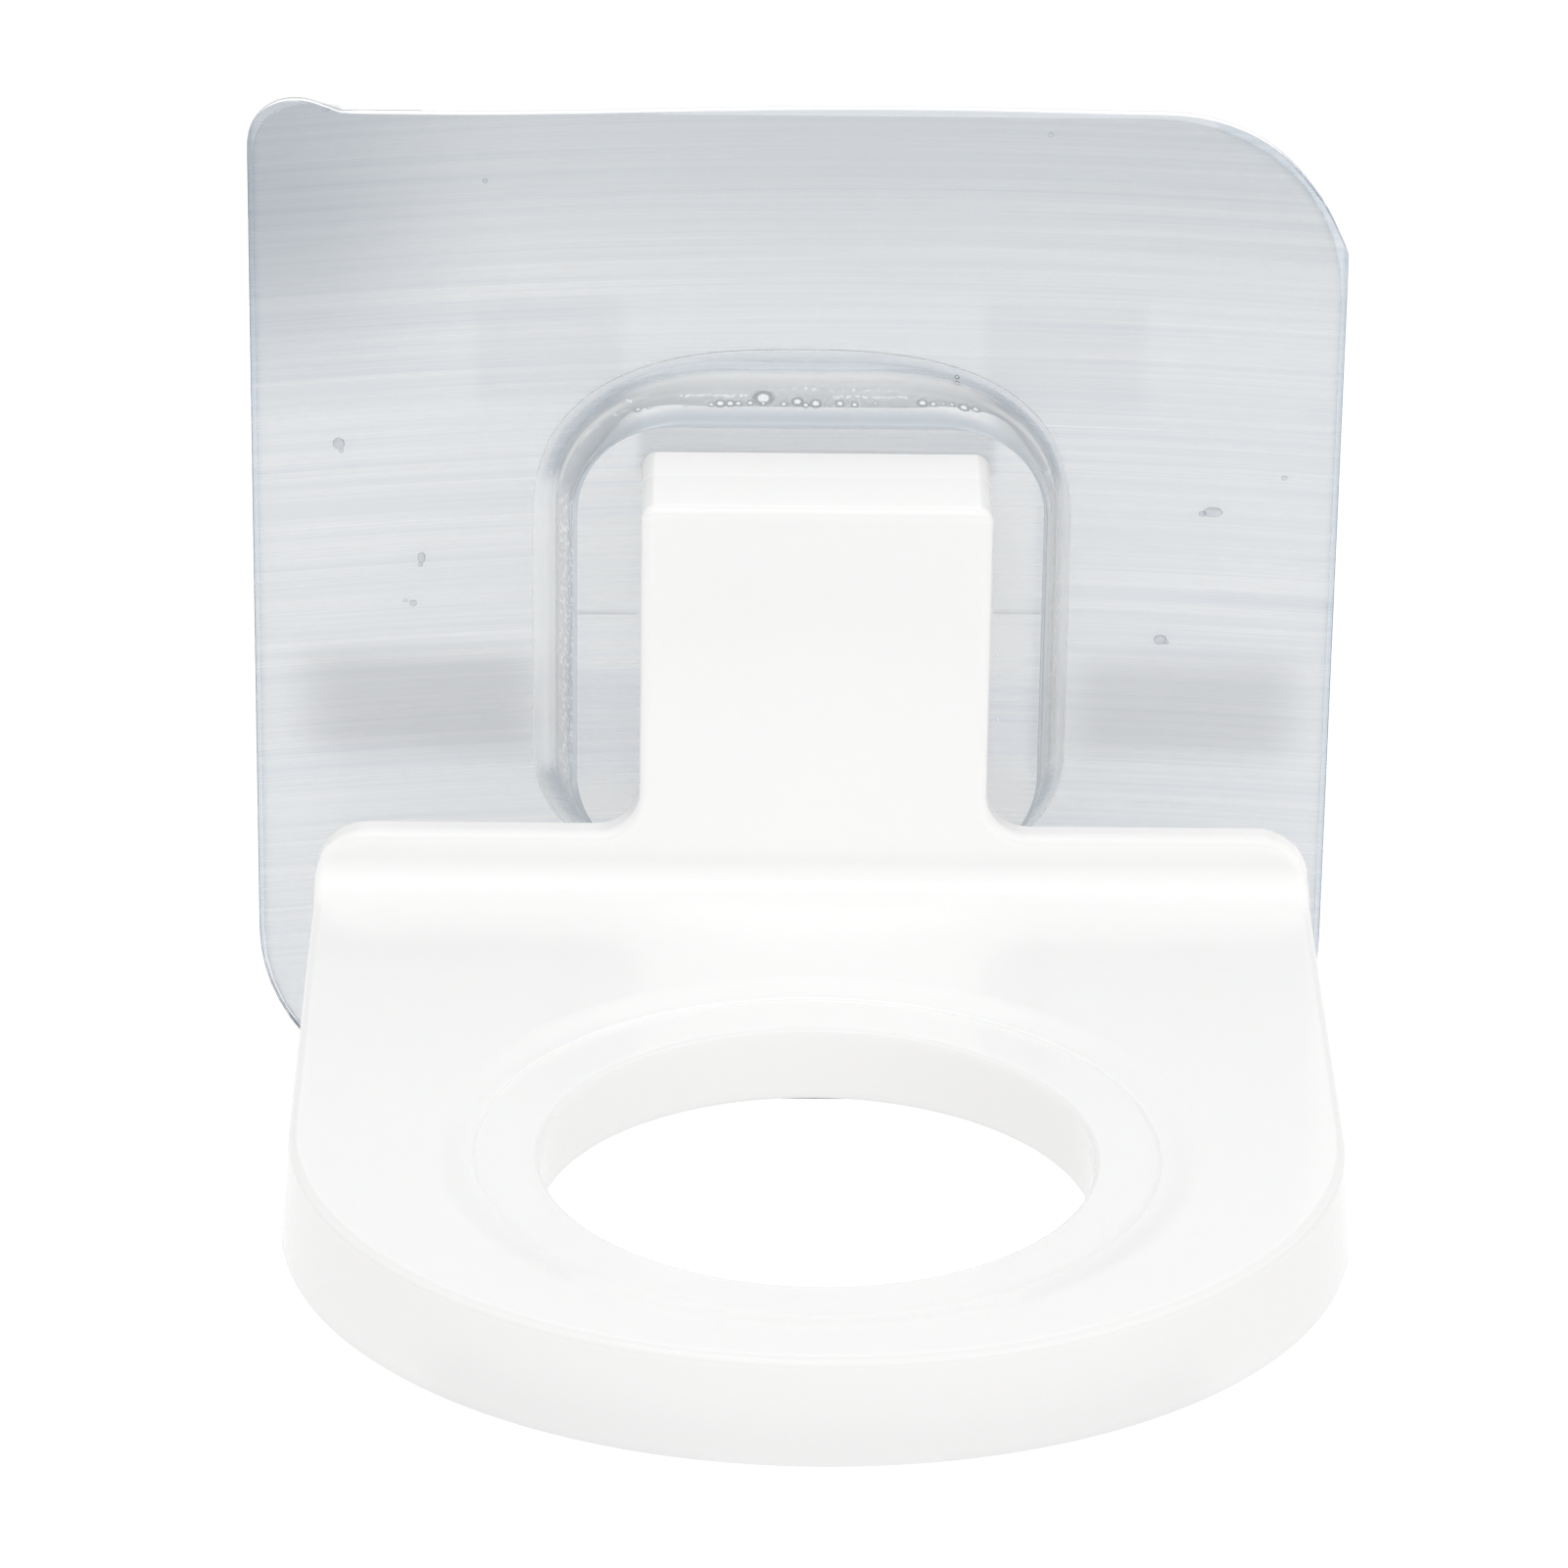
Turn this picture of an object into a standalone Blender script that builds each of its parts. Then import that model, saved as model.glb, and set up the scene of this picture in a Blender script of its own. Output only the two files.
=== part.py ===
"""Wall-mounted bottle holder: a white moulded ring shelf held by a clear adhesive pad.

Metres, +Z up, +Y towards the wall. The origin is the centre of the adhesive's wall face, so the
object hangs on the plane Y = 0 and reaches out along -Y. Four pieces make it: the adhesive layer,
the clear facing sheet, the clear boss moulded on the sheet, and the holder, whose tongue is rooted
in the boss.
"""

import math

import bmesh
import bpy

# Pad: the adhesive layer and the facing sheet, cut to one outline
PAD_WIDTH = 0.0850
PAD_HEIGHT = 0.0850
PAD_CORNER_RADIUS = 0.0150
EAR_LENGTH = 0.0074
EAR_RISE = 0.0009
EAR_CORNER_RADIUS = 0.0042
EAR_SHOULDER_RADIUS = 0.0005
EAR_STEP = 0.0006
ADHESIVE_THICKNESS = 0.0004
ADHESIVE_MARGIN = 0.0004
SHEET_THICKNESS = 0.0005
BOND_GAP = 0.0003

# Clear boss: a rounded block with a flared foot, moulded round the tongue's root
BOSS_RISE = 0.0078
BOSS_OFFSET = 0.0005
BOSS_LEAN = 0.0006
BOSS_FACE_WIDTH = 0.0360
BOSS_FACE_HEIGHT = 0.0372
BOSS_FACE_CORNER_RADIUS = 0.0080
BOSS_FOOT_CORNER_RADIUS = 0.0130
BOSS_TOP_MARGIN = 0.0043
BOSS_LIP = 0.0002
BOSS_FLARE_RUN = 0.0016
BOSS_FLARE_RISE = 0.0018
BOSS_DRAFT_RUN = 0.0010
BOSS_EDGE_RUN = 0.0005
BOSS_EDGE_RISE = 0.0007
BOSS_WEB = 0.0008

# Holder: one moulding of tongue, apron and ring shelf, with a skirt under the shelf
HOLDER_OFFSET = 0.0015
FACE_STANDOFF = 0.0144
SHELF_DROP = 0.0166
SHELF_WIDTH = 0.0776
SHELF_THICKNESS = 0.0022
NOSE_LENGTH = 0.0356
SKIRT_DEPTH = 0.0081
SKIRT_WALL = 0.0020
SKIRT_DRAFT = 0.0006
FRONT_LAND = 0.01245
BEND_RADIUS = 0.0025
APRON_HEIGHT = 0.00465
APRON_CORNER_RADIUS = 0.0043
NECK_FILLET = 0.0034
TONGUE_WIDTH = 0.0270
TONGUE_HEIGHT = 0.0322
TONGUE_CORNER_RADIUS = 0.0012
PLATE_THICKNESS = 0.0022
EDGE_RADIUS = 0.0008

# Bottle seat: the hole, its collar, the flat ring and the sloped dish round it
HOLE_RADIUS = 0.0204
HOLE_SETBACK = 0.0434
HOLE_EDGE_RADIUS = 0.0004
SEAT_RING_WIDTH = 0.0048
SEAT_DEPTH = 0.0007
SEAT_STEP = 0.0003
DISH_SLOPE_WIDTH = 0.0032
COLLAR_DEPTH = 0.0066
COLLAR_WALL = 0.0020

# Root: the hollow box behind the tongue, and the gussets that run down the back of the apron
ROOT_WALL = 0.0020
ROOT_STEP = 0.00015
GUSSET_CLEARANCE = 0.0008

# Smoothness of the round parts
CORNER_STEPS = 10
NOSE_STEPS = 56
BEND_STEPS = 10
EDGE_STEPS = 4
TURN_STEPS = 96
CUT_SPARE = 0.0040

# Places that follow from the sizes
SHEET_BACK = -(ADHESIVE_THICKNESS + BOND_GAP)
SHEET_FRONT = SHEET_BACK - SHEET_THICKNESS
BOSS_BACK = SHEET_FRONT - BOND_GAP
BOSS_FRONT = SHEET_FRONT - BOSS_RISE
ROOT_BACK = BOSS_BACK - BOSS_WEB - BOND_GAP
HOLDER_FACE = SHEET_FRONT - FACE_STANDOFF
TONGUE_TOP = TONGUE_HEIGHT - SHELF_DROP
SEAT_RADIUS = HOLE_RADIUS + SEAT_RING_WIDTH
DISH_RADIUS = SEAT_RADIUS + DISH_SLOPE_WIDTH
SHELF_REACH = HOLE_SETBACK + HOLE_RADIUS + FRONT_LAND
BOSS_FACE_TOP = TONGUE_TOP + BOSS_TOP_MARGIN
BOSS_CENTRE_Z = BOSS_FACE_TOP - BOSS_FACE_HEIGHT / 2
BOSS_RUN = BOSS_FLARE_RUN + BOSS_DRAFT_RUN + BOSS_EDGE_RUN
ROOT_HALF_WIDTH = TONGUE_WIDTH / 2 - ROOT_STEP
NOSE_START = NOSE_LENGTH - SHELF_REACH


def clear_scene():
    """Empty the file of everything that an earlier run or the startup file left."""
    for old in list(bpy.data.objects):
        bpy.data.objects.remove(old)
    for group in list(bpy.data.collections):
        bpy.data.collections.remove(group)


def new_collection(name):
    """A collection linked to the scene."""
    group = bpy.data.collections.new(name)
    bpy.context.scene.collection.children.link(group)
    return group


def plastic(name, colour, roughness, transmission=0.0, ior=1.5):
    """A plain Principled material."""
    made = bpy.data.materials.new(name)
    made.use_nodes = True
    shader = made.node_tree.nodes["Principled BSDF"]
    shader.inputs["Base Color"].default_value = (*colour, 1.0)
    shader.inputs["Metallic"].default_value = 0.0
    shader.inputs["Roughness"].default_value = roughness
    shader.inputs["Transmission Weight"].default_value = transmission
    shader.inputs["IOR"].default_value = ior
    return made


def rounded(corners, steps=CORNER_STEPS):
    """Round each corner (x, y, radius) of a closed outline with an arc tangent to its two sides."""
    points = []
    for i, (x, y, radius) in enumerate(corners):
        ax, ay, _ = corners[i - 1]
        bx, by, _ = corners[(i + 1) % len(corners)]
        if radius == 0:
            points.append((x, y))
            continue
        a_len = math.hypot(ax - x, ay - y)
        b_len = math.hypot(bx - x, by - y)
        ux, uy = (ax - x) / a_len, (ay - y) / a_len
        vx, vy = (bx - x) / b_len, (by - y) / b_len
        half = math.acos(max(-1.0, min(1.0, ux * vx + uy * vy))) / 2
        reach = radius / math.tan(half)
        to_centre = radius / math.sin(half)
        mx, my = ux + vx, uy + vy
        m_len = math.hypot(mx, my)
        cx, cy = x + mx / m_len * to_centre, y + my / m_len * to_centre
        start = math.atan2(y + uy * reach - cy, x + ux * reach - cx)
        end = math.atan2(y + vy * reach - cy, x + vx * reach - cx)
        sweep = (end - start + math.pi) % (2 * math.pi) - math.pi
        for k in range(steps + 1):
            angle = start + sweep * k / steps
            points.append((cx + radius * math.cos(angle), cy + radius * math.sin(angle)))
    return points


def pad_outline(margin):
    """The pad's outline seen from the front, drawn in by margin: a rounded square with an ear."""
    half_w = PAD_WIDTH / 2 - margin
    half_h = PAD_HEIGHT / 2 - margin
    radius = PAD_CORNER_RADIUS - margin
    ear_end = EAR_LENGTH - half_w - margin
    return rounded([
        (-half_w, -half_h, radius),
        (half_w, -half_h, radius),
        (half_w, half_h, radius),
        (ear_end, half_h, EAR_SHOULDER_RADIUS),
        (ear_end - EAR_STEP, half_h + EAR_RISE / 2, EAR_SHOULDER_RADIUS),
        (-half_w, half_h + EAR_RISE, EAR_CORNER_RADIUS),
    ])


def flat_curve(name, outline, thickness, collection):
    """A filled outline in the curve's own XY plane, as thick as stated and centred on it."""
    curve = bpy.data.curves.new(name, "CURVE")
    curve.dimensions = "2D"
    curve.fill_mode = "BOTH"
    curve.extrude = thickness / 2
    spline = curve.splines.new("POLY")
    spline.points.add(len(outline) - 1)
    for point, (x, y) in zip(spline.points, outline):
        point.co = (x, y, 0, 1)
    spline.use_cyclic_u = True
    made = bpy.data.objects.new(name, curve)
    collection.objects.link(made)
    return made


def as_mesh(source):
    """The curve object remade as a mesh object with its caps welded on."""
    bpy.context.view_layer.update()
    graph = bpy.context.evaluated_depsgraph_get()
    mesh = bpy.data.meshes.new_from_object(source.evaluated_get(graph))
    solid = bmesh.new()
    solid.from_mesh(mesh)
    bmesh.ops.remove_doubles(solid, verts=solid.verts, dist=1e-7)
    bmesh.ops.recalc_face_normals(solid, faces=solid.faces)
    solid.to_mesh(mesh)
    solid.free()
    made = bpy.data.objects.new(source.name + "_solid", mesh)
    made.matrix_world = source.matrix_world
    source.users_collection[0].objects.link(made)
    bpy.data.objects.remove(source)
    return made


def mesh_object(name, solid, collection):
    """Write a bmesh to a new object."""
    bmesh.ops.recalc_face_normals(solid, faces=solid.faces)
    mesh = bpy.data.meshes.new(name)
    solid.to_mesh(mesh)
    solid.free()
    made = bpy.data.objects.new(name, mesh)
    collection.objects.link(made)
    return made


def box(name, low, high, collection):
    """A box between two corners."""
    solid = bmesh.new()
    bmesh.ops.create_cube(solid, size=1.0)
    for vert in solid.verts:
        vert.co = [lo + (hi - lo) * (c + 0.5) for c, lo, hi in zip(vert.co, low, high)]
    return mesh_object(name, solid, collection)


def turned(name, profile, collection):
    """A solid of revolution about its own Z: profile points (radius, z), outer side downwards."""
    mesh = bpy.data.meshes.new(name)
    edges = [(i, i + 1) for i in range(len(profile) - 1)]
    mesh.from_pydata([(r, 0, z) for r, z in profile], edges, [])
    made = bpy.data.objects.new(name, mesh)
    collection.objects.link(made)
    screw = made.modifiers.new("turn", "SCREW")
    screw.axis = "Z"
    screw.steps = TURN_STEPS
    screw.render_steps = TURN_STEPS
    screw.use_merge_vertices = True
    screw.merge_threshold = 1e-6
    screw.use_smooth_shade = True
    return made


def as_cutter(made):
    """Keep a construction solid out of the model."""
    made.hide_render = True
    made.display_type = "WIRE"
    return made


def combine(target, tool, operation):
    """Add a Boolean modifier."""
    boolean = target.modifiers.new(operation.lower() + "_" + tool.name, "BOOLEAN")
    boolean.operation = operation
    boolean.solver = "EXACT"
    boolean.object = tool


def stand(made, parent, location=(0, 0, 0)):
    """Parent an object and set its place in the parent's frame."""
    made.parent = parent
    made.location = location


def finish(made, material):
    """Give a piece its material and smooth shading with sharp edges kept."""
    made.data.materials.append(material)
    if made.type == "MESH":
        made.data.shade_smooth()
        made.data.set_sharp_from_angle(angle=math.radians(35))


def arc_length_at(height):
    """Distance along the holder's sheet, from the bend's start, to a height above the shelf."""
    if height < BEND_RADIUS:
        return BEND_RADIUS * math.acos(1 - height / BEND_RADIUS)
    return BEND_RADIUS * math.pi / 2 + height - BEND_RADIUS


def upper(along, offset):
    """Where a point of the blank's upper side goes: the distance along it becomes (y, z).

    Along is below zero on the shelf, turns through a right angle on BEND_RADIUS and goes on up
    the apron and tongue. Y is zero on the tongue's face and Z on the shelf's top.
    """
    angle = max(0.0, min(along / BEND_RADIUS, math.pi / 2))
    flat = min(along, 0.0)
    rise = max(along - BEND_RADIUS * math.pi / 2, 0.0)
    y = -BEND_RADIUS + flat + (BEND_RADIUS - offset) * math.sin(angle)
    z = BEND_RADIUS + rise - (BEND_RADIUS - offset) * math.cos(angle)
    return y, z


def lower(along):
    """Where a point of the blank's lower side goes, as (y, z).

    It runs along the skirt's foot to the back of the plate, then up the plate's back, so that the
    blank becomes one thick solid from which the hollow is cut.
    """
    share = max(0.0, min(along / (BEND_RADIUS * math.pi / 2), 1.0))
    reach = BEND_RADIUS + PLATE_THICKNESS
    height = BEND_RADIUS + SKIRT_DEPTH
    y = min(along, 0.0) - BEND_RADIUS + reach * min(2 * share, 1.0)
    z = height * max(2 * share - 1.0, 0.0) - SKIRT_DEPTH
    return y, z + max(along - BEND_RADIUS * math.pi / 2, 0.0)


def nose(half_width, length):
    """The shelf's front, half an ellipse from its left side to its right, Y from the face."""
    points = []
    for k in range(1, NOSE_STEPS):
        angle = math.pi * k / NOSE_STEPS
        points.append((-half_width * math.cos(angle), NOSE_START - length * math.sin(angle)))
    return points


def holder_outline():
    """The holder's flat blank, across and along: shelf, apron and tongue in one."""
    half = SHELF_WIDTH / 2
    tongue = TONGUE_WIDTH / 2
    apron_top = arc_length_at(APRON_HEIGHT)
    tongue_top = arc_length_at(TONGUE_HEIGHT)
    nose_start = NOSE_START + BEND_RADIUS
    return rounded([
        (half, nose_start, 0),
        (half, apron_top, APRON_CORNER_RADIUS),
        (tongue, apron_top, NECK_FILLET),
        (tongue, tongue_top, TONGUE_CORNER_RADIUS),
        (-tongue, tongue_top, TONGUE_CORNER_RADIUS),
        (-tongue, apron_top, NECK_FILLET),
        (-half, apron_top, APRON_CORNER_RADIUS),
        (-half, nose_start, 0),
    ]) + [(x, y + BEND_RADIUS) for x, y in nose(half, NOSE_LENGTH)]


def bent_sheet(name, outline, collection):
    """Extrude the blank, round its upper edge, cut it in rows across the bend and bend it."""
    solid = bmesh.new()
    face = solid.faces.new([solid.verts.new((x, y, 0)) for x, y in outline])
    grown = bmesh.ops.extrude_face_region(solid, geom=[face])
    for part in grown["geom"]:
        if isinstance(part, bmesh.types.BMVert):
            part.co.z = -1.0
    bmesh.ops.recalc_face_normals(solid, faces=solid.faces)
    rim = [edge for edge in solid.edges if all(abs(vert.co.z) < 1e-9 for vert in edge.verts)]
    bmesh.ops.bevel(
        solid, geom=rim, offset=EDGE_RADIUS, offset_type="OFFSET", segments=EDGE_STEPS,
        profile=0.5, affect="EDGES", clamp_overlap=False,
    )
    for k in range(BEND_STEPS + 1):
        everything = list(solid.verts) + list(solid.edges) + list(solid.faces)
        row = (0, BEND_RADIUS * math.pi / 2 * k / BEND_STEPS, 0)
        bmesh.ops.bisect_plane(solid, geom=everything, dist=1e-7, plane_co=row, plane_no=(0, 1, 0))
    bmesh.ops.triangulate(solid, faces=solid.faces)
    for vert in solid.verts:
        x, along, depth = vert.co
        if depth > -0.5:
            vert.co = (x, *upper(along, depth))
            continue
        y, z = lower(along)
        draft = SKIRT_DRAFT * max(0.0, min(-z / SKIRT_DEPTH, 1.0))
        forward = max(0.0, (NOSE_START - y) / NOSE_LENGTH)
        vert.co = (x + draft * x / (SHELF_WIDTH / 2), y - draft * forward, z)
    return mesh_object(name, solid, collection)


def hub_profile():
    """The solid under the seat, from its top down its outer side: backing disc, then collar."""
    inside = -SHELF_THICKNESS / 2
    backing = -SHELF_THICKNESS - SEAT_DEPTH
    collar = HOLE_RADIUS + COLLAR_WALL
    return [
        (0, inside), (SEAT_RADIUS + COLLAR_WALL, inside), (SEAT_RADIUS + COLLAR_WALL, backing),
        (collar, backing), (collar, -COLLAR_DEPTH), (0, -COLLAR_DEPTH),
    ]


def bore_profile():
    """What the bottle seat takes away: the dish, the step, the flat ring and the hole."""
    slope = (SEAT_DEPTH - SEAT_STEP) / DISH_SLOPE_WIDTH
    above = 2 * DISH_SLOPE_WIDTH
    points = [
        (0, slope * above), (DISH_RADIUS + above, slope * above),
        (SEAT_RADIUS, SEAT_STEP - SEAT_DEPTH), (SEAT_RADIUS, -SEAT_DEPTH),
    ]
    for k in range(EDGE_STEPS + 1):
        angle = math.pi / 2 * k / EDGE_STEPS
        points.append((
            HOLE_RADIUS + HOLE_EDGE_RADIUS * (1 - math.sin(angle)),
            -SEAT_DEPTH - HOLE_EDGE_RADIUS * (1 - math.cos(angle)),
        ))
    return points + [(HOLE_RADIUS, -SKIRT_DEPTH - CUT_SPARE), (0, -SKIRT_DEPTH - CUT_SPARE)]


def make_core(datum, collection):
    """The hollow under the shelf, drawn in from the blank by the skirt's wall."""
    half = SHELF_WIDTH / 2 - SKIRT_WALL
    outline = [(half, NOSE_START), (half, 0), (-half, 0), (-half, NOSE_START)]
    outline += nose(half, NOSE_LENGTH - SKIRT_WALL)
    depth = SKIRT_DEPTH + CUT_SPARE - SHELF_THICKNESS
    core = as_mesh(flat_curve("shelf_core", outline, depth, collection))
    stand(core, datum, (0, 0, -SHELF_THICKNESS - depth / 2))
    return core


def make_root(datum, collection):
    """The hollow box that joins the tongue to the boss, its sides run on down as gussets.

    Its front wall starts and ends inside the plate, so that the two join without faces in one plane.
    """
    back = ROOT_BACK - HOLDER_FACE
    top = TONGUE_HEIGHT - ROOT_STEP
    heel = BOSS_CENTRE_Z - BOSS_FACE_HEIGHT / 2 - BOSS_RUN + SHELF_DROP
    toe = GUSSET_CLEARANCE - SKIRT_DEPTH
    lap_start = PLATE_THICKNESS / 2
    lap_end = (lap_start + PLATE_THICKNESS) / 2
    below = -SKIRT_DEPTH - CUT_SPARE
    beyond = back + CUT_SPARE
    ceiling = top - ROOT_WALL
    outer = [(lap_start, toe), (lap_start, top), (back, top), (back, heel), (PLATE_THICKNESS, toe)]
    inner = [(lap_end, below), (lap_end, ceiling), (beyond, ceiling), (beyond, below)]
    solids = []
    for name, side, width in (
        ("root", outer, 2 * ROOT_HALF_WIDTH),
        ("root_core", inner, 2 * (ROOT_HALF_WIDTH - ROOT_WALL)),
    ):
        made = as_mesh(flat_curve(name, side, width, collection))
        made.rotation_euler = (math.pi / 2, 0, math.pi / 2)
        stand(as_cutter(made), datum)
        solids.append(made)
    combine(solids[0], solids[1], "DIFFERENCE")
    return solids[0]


def make_holder(parts, cutters, material):
    """The white moulding: a bent sheet with its skirt, hollowed, with the seat and the root."""
    datum = bpy.data.objects.new("holder_datum", None)
    datum.location = (HOLDER_OFFSET, HOLDER_FACE, -SHELF_DROP)
    parts.objects.link(datum)
    bpy.context.view_layer.update()

    holder = bent_sheet("holder", holder_outline(), parts)
    core = make_core(datum, cutters)
    hub = turned("seat_hub", hub_profile(), cutters)
    bore = turned("seat_bore", bore_profile(), cutters)
    root = make_root(datum, cutters)
    stand(holder, datum)
    for round_tool in (hub, bore):
        stand(round_tool, datum, (0, -HOLE_SETBACK, 0))
    for tool in (core, hub, bore):
        as_cutter(tool)

    combine(holder, core, "DIFFERENCE")
    combine(holder, hub, "UNION")
    combine(holder, root, "UNION")
    combine(holder, bore, "DIFFERENCE")
    finish(holder, material)
    return holder


def boss_sections():
    """The boss's sections as (share of the run from foot to face, height above the sheet)."""
    sections = [(0.0, BOND_GAP), (0.0, BOND_GAP + BOSS_LIP)]
    foot = BOND_GAP + BOSS_LIP
    for k in range(1, EDGE_STEPS + 1):
        angle = math.pi / 2 * k / EDGE_STEPS
        run = BOSS_FLARE_RUN * math.sin(angle)
        sections.append((run / BOSS_RUN, foot + BOSS_FLARE_RISE * (1 - math.cos(angle))))
    wall_run = BOSS_FLARE_RUN + BOSS_DRAFT_RUN
    for k in range(EDGE_STEPS + 1):
        angle = math.pi / 2 * k / EDGE_STEPS
        run = wall_run + BOSS_EDGE_RUN * (1 - math.cos(angle))
        rise = BOSS_RISE - BOSS_EDGE_RISE * (1 - math.sin(angle))
        sections.append((run / BOSS_RUN, rise))
    return sections


def make_boss(parts, cutters, material):
    """The clear boss: a loft from its flared foot to a face that leans towards the tongue."""
    half_w = BOSS_FACE_WIDTH / 2
    half_h = BOSS_FACE_HEIGHT / 2
    solid = bmesh.new()
    rings = []
    for share, height in boss_sections():
        spread = BOSS_RUN * (1 - share)
        w, h = half_w + spread, half_h + spread
        rounding = BOSS_FOOT_CORNER_RADIUS - BOSS_FACE_CORNER_RADIUS
        radius = BOSS_FACE_CORNER_RADIUS + rounding * (1 - share)
        centre = BOSS_LEAN * share
        ring = rounded([(w, -h, radius), (w, h, radius), (-w, h, radius), (-w, -h, radius)])
        rings.append([solid.verts.new((centre + x, -height, z)) for x, z in ring])
    for back_ring, front_ring in zip(rings, rings[1:]):
        for i in range(len(back_ring)):
            solid.faces.new((back_ring[i - 1], back_ring[i], front_ring[i], front_ring[i - 1]))
    solid.faces.new(rings[0])
    solid.faces.new(rings[-1])
    boss = mesh_object("boss", solid, parts)
    boss.location = (BOSS_OFFSET, SHEET_FRONT, BOSS_CENTRE_Z)

    slot_back = ROOT_BACK + BOND_GAP
    slot_front = BOSS_FRONT - CUT_SPARE
    slot_top = TONGUE_TOP - ROOT_STEP + BOND_GAP
    slot_bottom = BOSS_CENTRE_Z - half_h - BOSS_RUN - CUT_SPARE
    outer = ROOT_HALF_WIDTH + BOND_GAP
    inner = ROOT_HALF_WIDTH - ROOT_WALL - BOND_GAP
    slot = box(
        "root_slot", (HOLDER_OFFSET - outer, slot_front, slot_bottom),
        (HOLDER_OFFSET + outer, slot_back, slot_top), cutters,
    )
    plug = box(
        "slot_plug", (HOLDER_OFFSET - inner, slot_front - CUT_SPARE, slot_bottom - CUT_SPARE),
        (HOLDER_OFFSET + inner, slot_back + CUT_SPARE, slot_top - ROOT_WALL - 2 * BOND_GAP), cutters,
    )
    combine(slot, plug, "DIFFERENCE")
    combine(boss, slot, "DIFFERENCE")
    as_cutter(slot)
    as_cutter(plug)
    finish(boss, material)
    return boss


def make_pad_layer(name, margin, back, thickness, parts, material):
    """One flat layer of the pad, its back face at a stated Y."""
    layer = flat_curve(name, pad_outline(margin), thickness, parts)
    layer.rotation_euler = (math.pi / 2, 0, 0)
    layer.location = (0, back - thickness / 2, 0)
    finish(layer, material)
    return layer


def main():
    clear_scene()
    parts = new_collection("bottle_holder")
    cutters = new_collection("cutters")
    white = plastic("white_plastic", (0.90, 0.90, 0.89), 0.18)
    clear = plastic("clear_plastic", (0.86, 0.90, 0.92), 0.06, transmission=0.9, ior=1.5)
    film = plastic("brushed_film", (0.68, 0.72, 0.75), 0.28, transmission=0.5, ior=1.5)
    glue = plastic("clear_adhesive", (0.78, 0.80, 0.80), 0.45, transmission=0.6, ior=1.47)

    make_pad_layer("adhesive_layer", ADHESIVE_MARGIN, 0.0, ADHESIVE_THICKNESS, parts, glue)
    make_pad_layer("facing_sheet", 0.0, SHEET_BACK, SHEET_THICKNESS, parts, film)
    make_boss(parts, cutters, clear)
    make_holder(parts, cutters, white)
    bpy.context.view_layer.update()


main()
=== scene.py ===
"""Looks for the wall-mounted bottle holder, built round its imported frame.

Metres, +Z up, +Y towards the wall. The white holder, the clear boss and the brushed sheet are
surfaces worked out here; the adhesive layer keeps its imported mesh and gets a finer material.
"""

import math

import bmesh
import bpy
import numpy as np
from mathutils import Matrix, Vector
from mathutils.geometry import delaunay_2d_cdt


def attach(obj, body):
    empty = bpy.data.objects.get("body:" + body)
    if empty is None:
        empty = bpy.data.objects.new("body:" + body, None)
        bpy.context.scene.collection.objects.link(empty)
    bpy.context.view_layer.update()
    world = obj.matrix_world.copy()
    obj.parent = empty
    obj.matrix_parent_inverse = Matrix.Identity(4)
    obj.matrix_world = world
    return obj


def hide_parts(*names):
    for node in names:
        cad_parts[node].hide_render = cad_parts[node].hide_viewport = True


MM = 0.001
QUARTER = math.pi / 2
WELD = 0.002 * MM

# Where the holder stands: its tongue's face, its middle and its shelf's top in the shared frame
HOLDER_AT = np.array([1.5, -15.6, -16.6]) * MM

# Holder sizes, all in its own frame: Y = 0 on the tongue's face, Z = 0 on the shelf's top
HALF_SHELF = 38.8 * MM
NOSE_START = -40.65 * MM
NOSE_LENGTH = 35.6 * MM
SHELF_THICKNESS = 2.2 * MM
SKIRT_DEPTH = 8.1 * MM
SKIRT_WALL = 2.0 * MM
SKIRT_DRAFT = 0.6 * MM
BEND = 2.5 * MM
PLATE = 2.2 * MM
EDGE = 0.8 * MM
APRON_HEIGHT = 4.65 * MM
APRON_CORNER = 4.3 * MM
NECK_FILLET = 3.4 * MM
HALF_TONGUE = 13.5 * MM
TONGUE_HEIGHT = 32.2 * MM
TONGUE_CORNER = 1.2 * MM
HOLE = 20.4 * MM
HOLE_Y = -43.4 * MM
HOLE_EDGE = 0.4 * MM
SEAT = 25.2 * MM
SEAT_DEPTH = 0.7 * MM
SEAT_STEP = 0.3 * MM
DISH = 28.4 * MM
COLLAR_DEPTH = 6.6 * MM
COLLAR_WALL = 2.0 * MM
SMALL_ROUND = 0.3 * MM
STEP_ROUND = 0.12 * MM

# Root: the open box behind the tongue, whose side walls run on down as gussets
ROOT_WALL = 2.0 * MM
ROOT_BACK = 14.1 * MM
ROOT_TOE = -7.3 * MM
ROOT_HEEL = -3.8 * MM
ROOT_FILLET = 0.6 * MM
ROOT_BACK_ROUND = 0.15 * MM

# Boss: heights are above the sheet's front, runs are inwards from the foot's outline
SHEET_FRONT = -1.2 * MM
BOSS_AT = np.array([0.5, -1.2, 1.3]) * MM
BOSS_FACE = np.array([18.0, 18.6]) * MM
BOSS_RISE = 7.8 * MM
BOSS_SUNK = 0.2 * MM
BOSS_LIP = 0.12 * MM
FLARE_RUN = 1.6 * MM
FLARE_RISE = 2.18 * MM
DRAFT_RUN = 1.0 * MM
FACE_EDGE_RUN = 0.5 * MM
FACE_EDGE_RISE = 0.7 * MM
BOSS_RUN = FLARE_RUN + DRAFT_RUN + FACE_EDGE_RUN
BOSS_LEAN = np.array([0.6, 0.0, -0.4]) * MM

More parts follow.
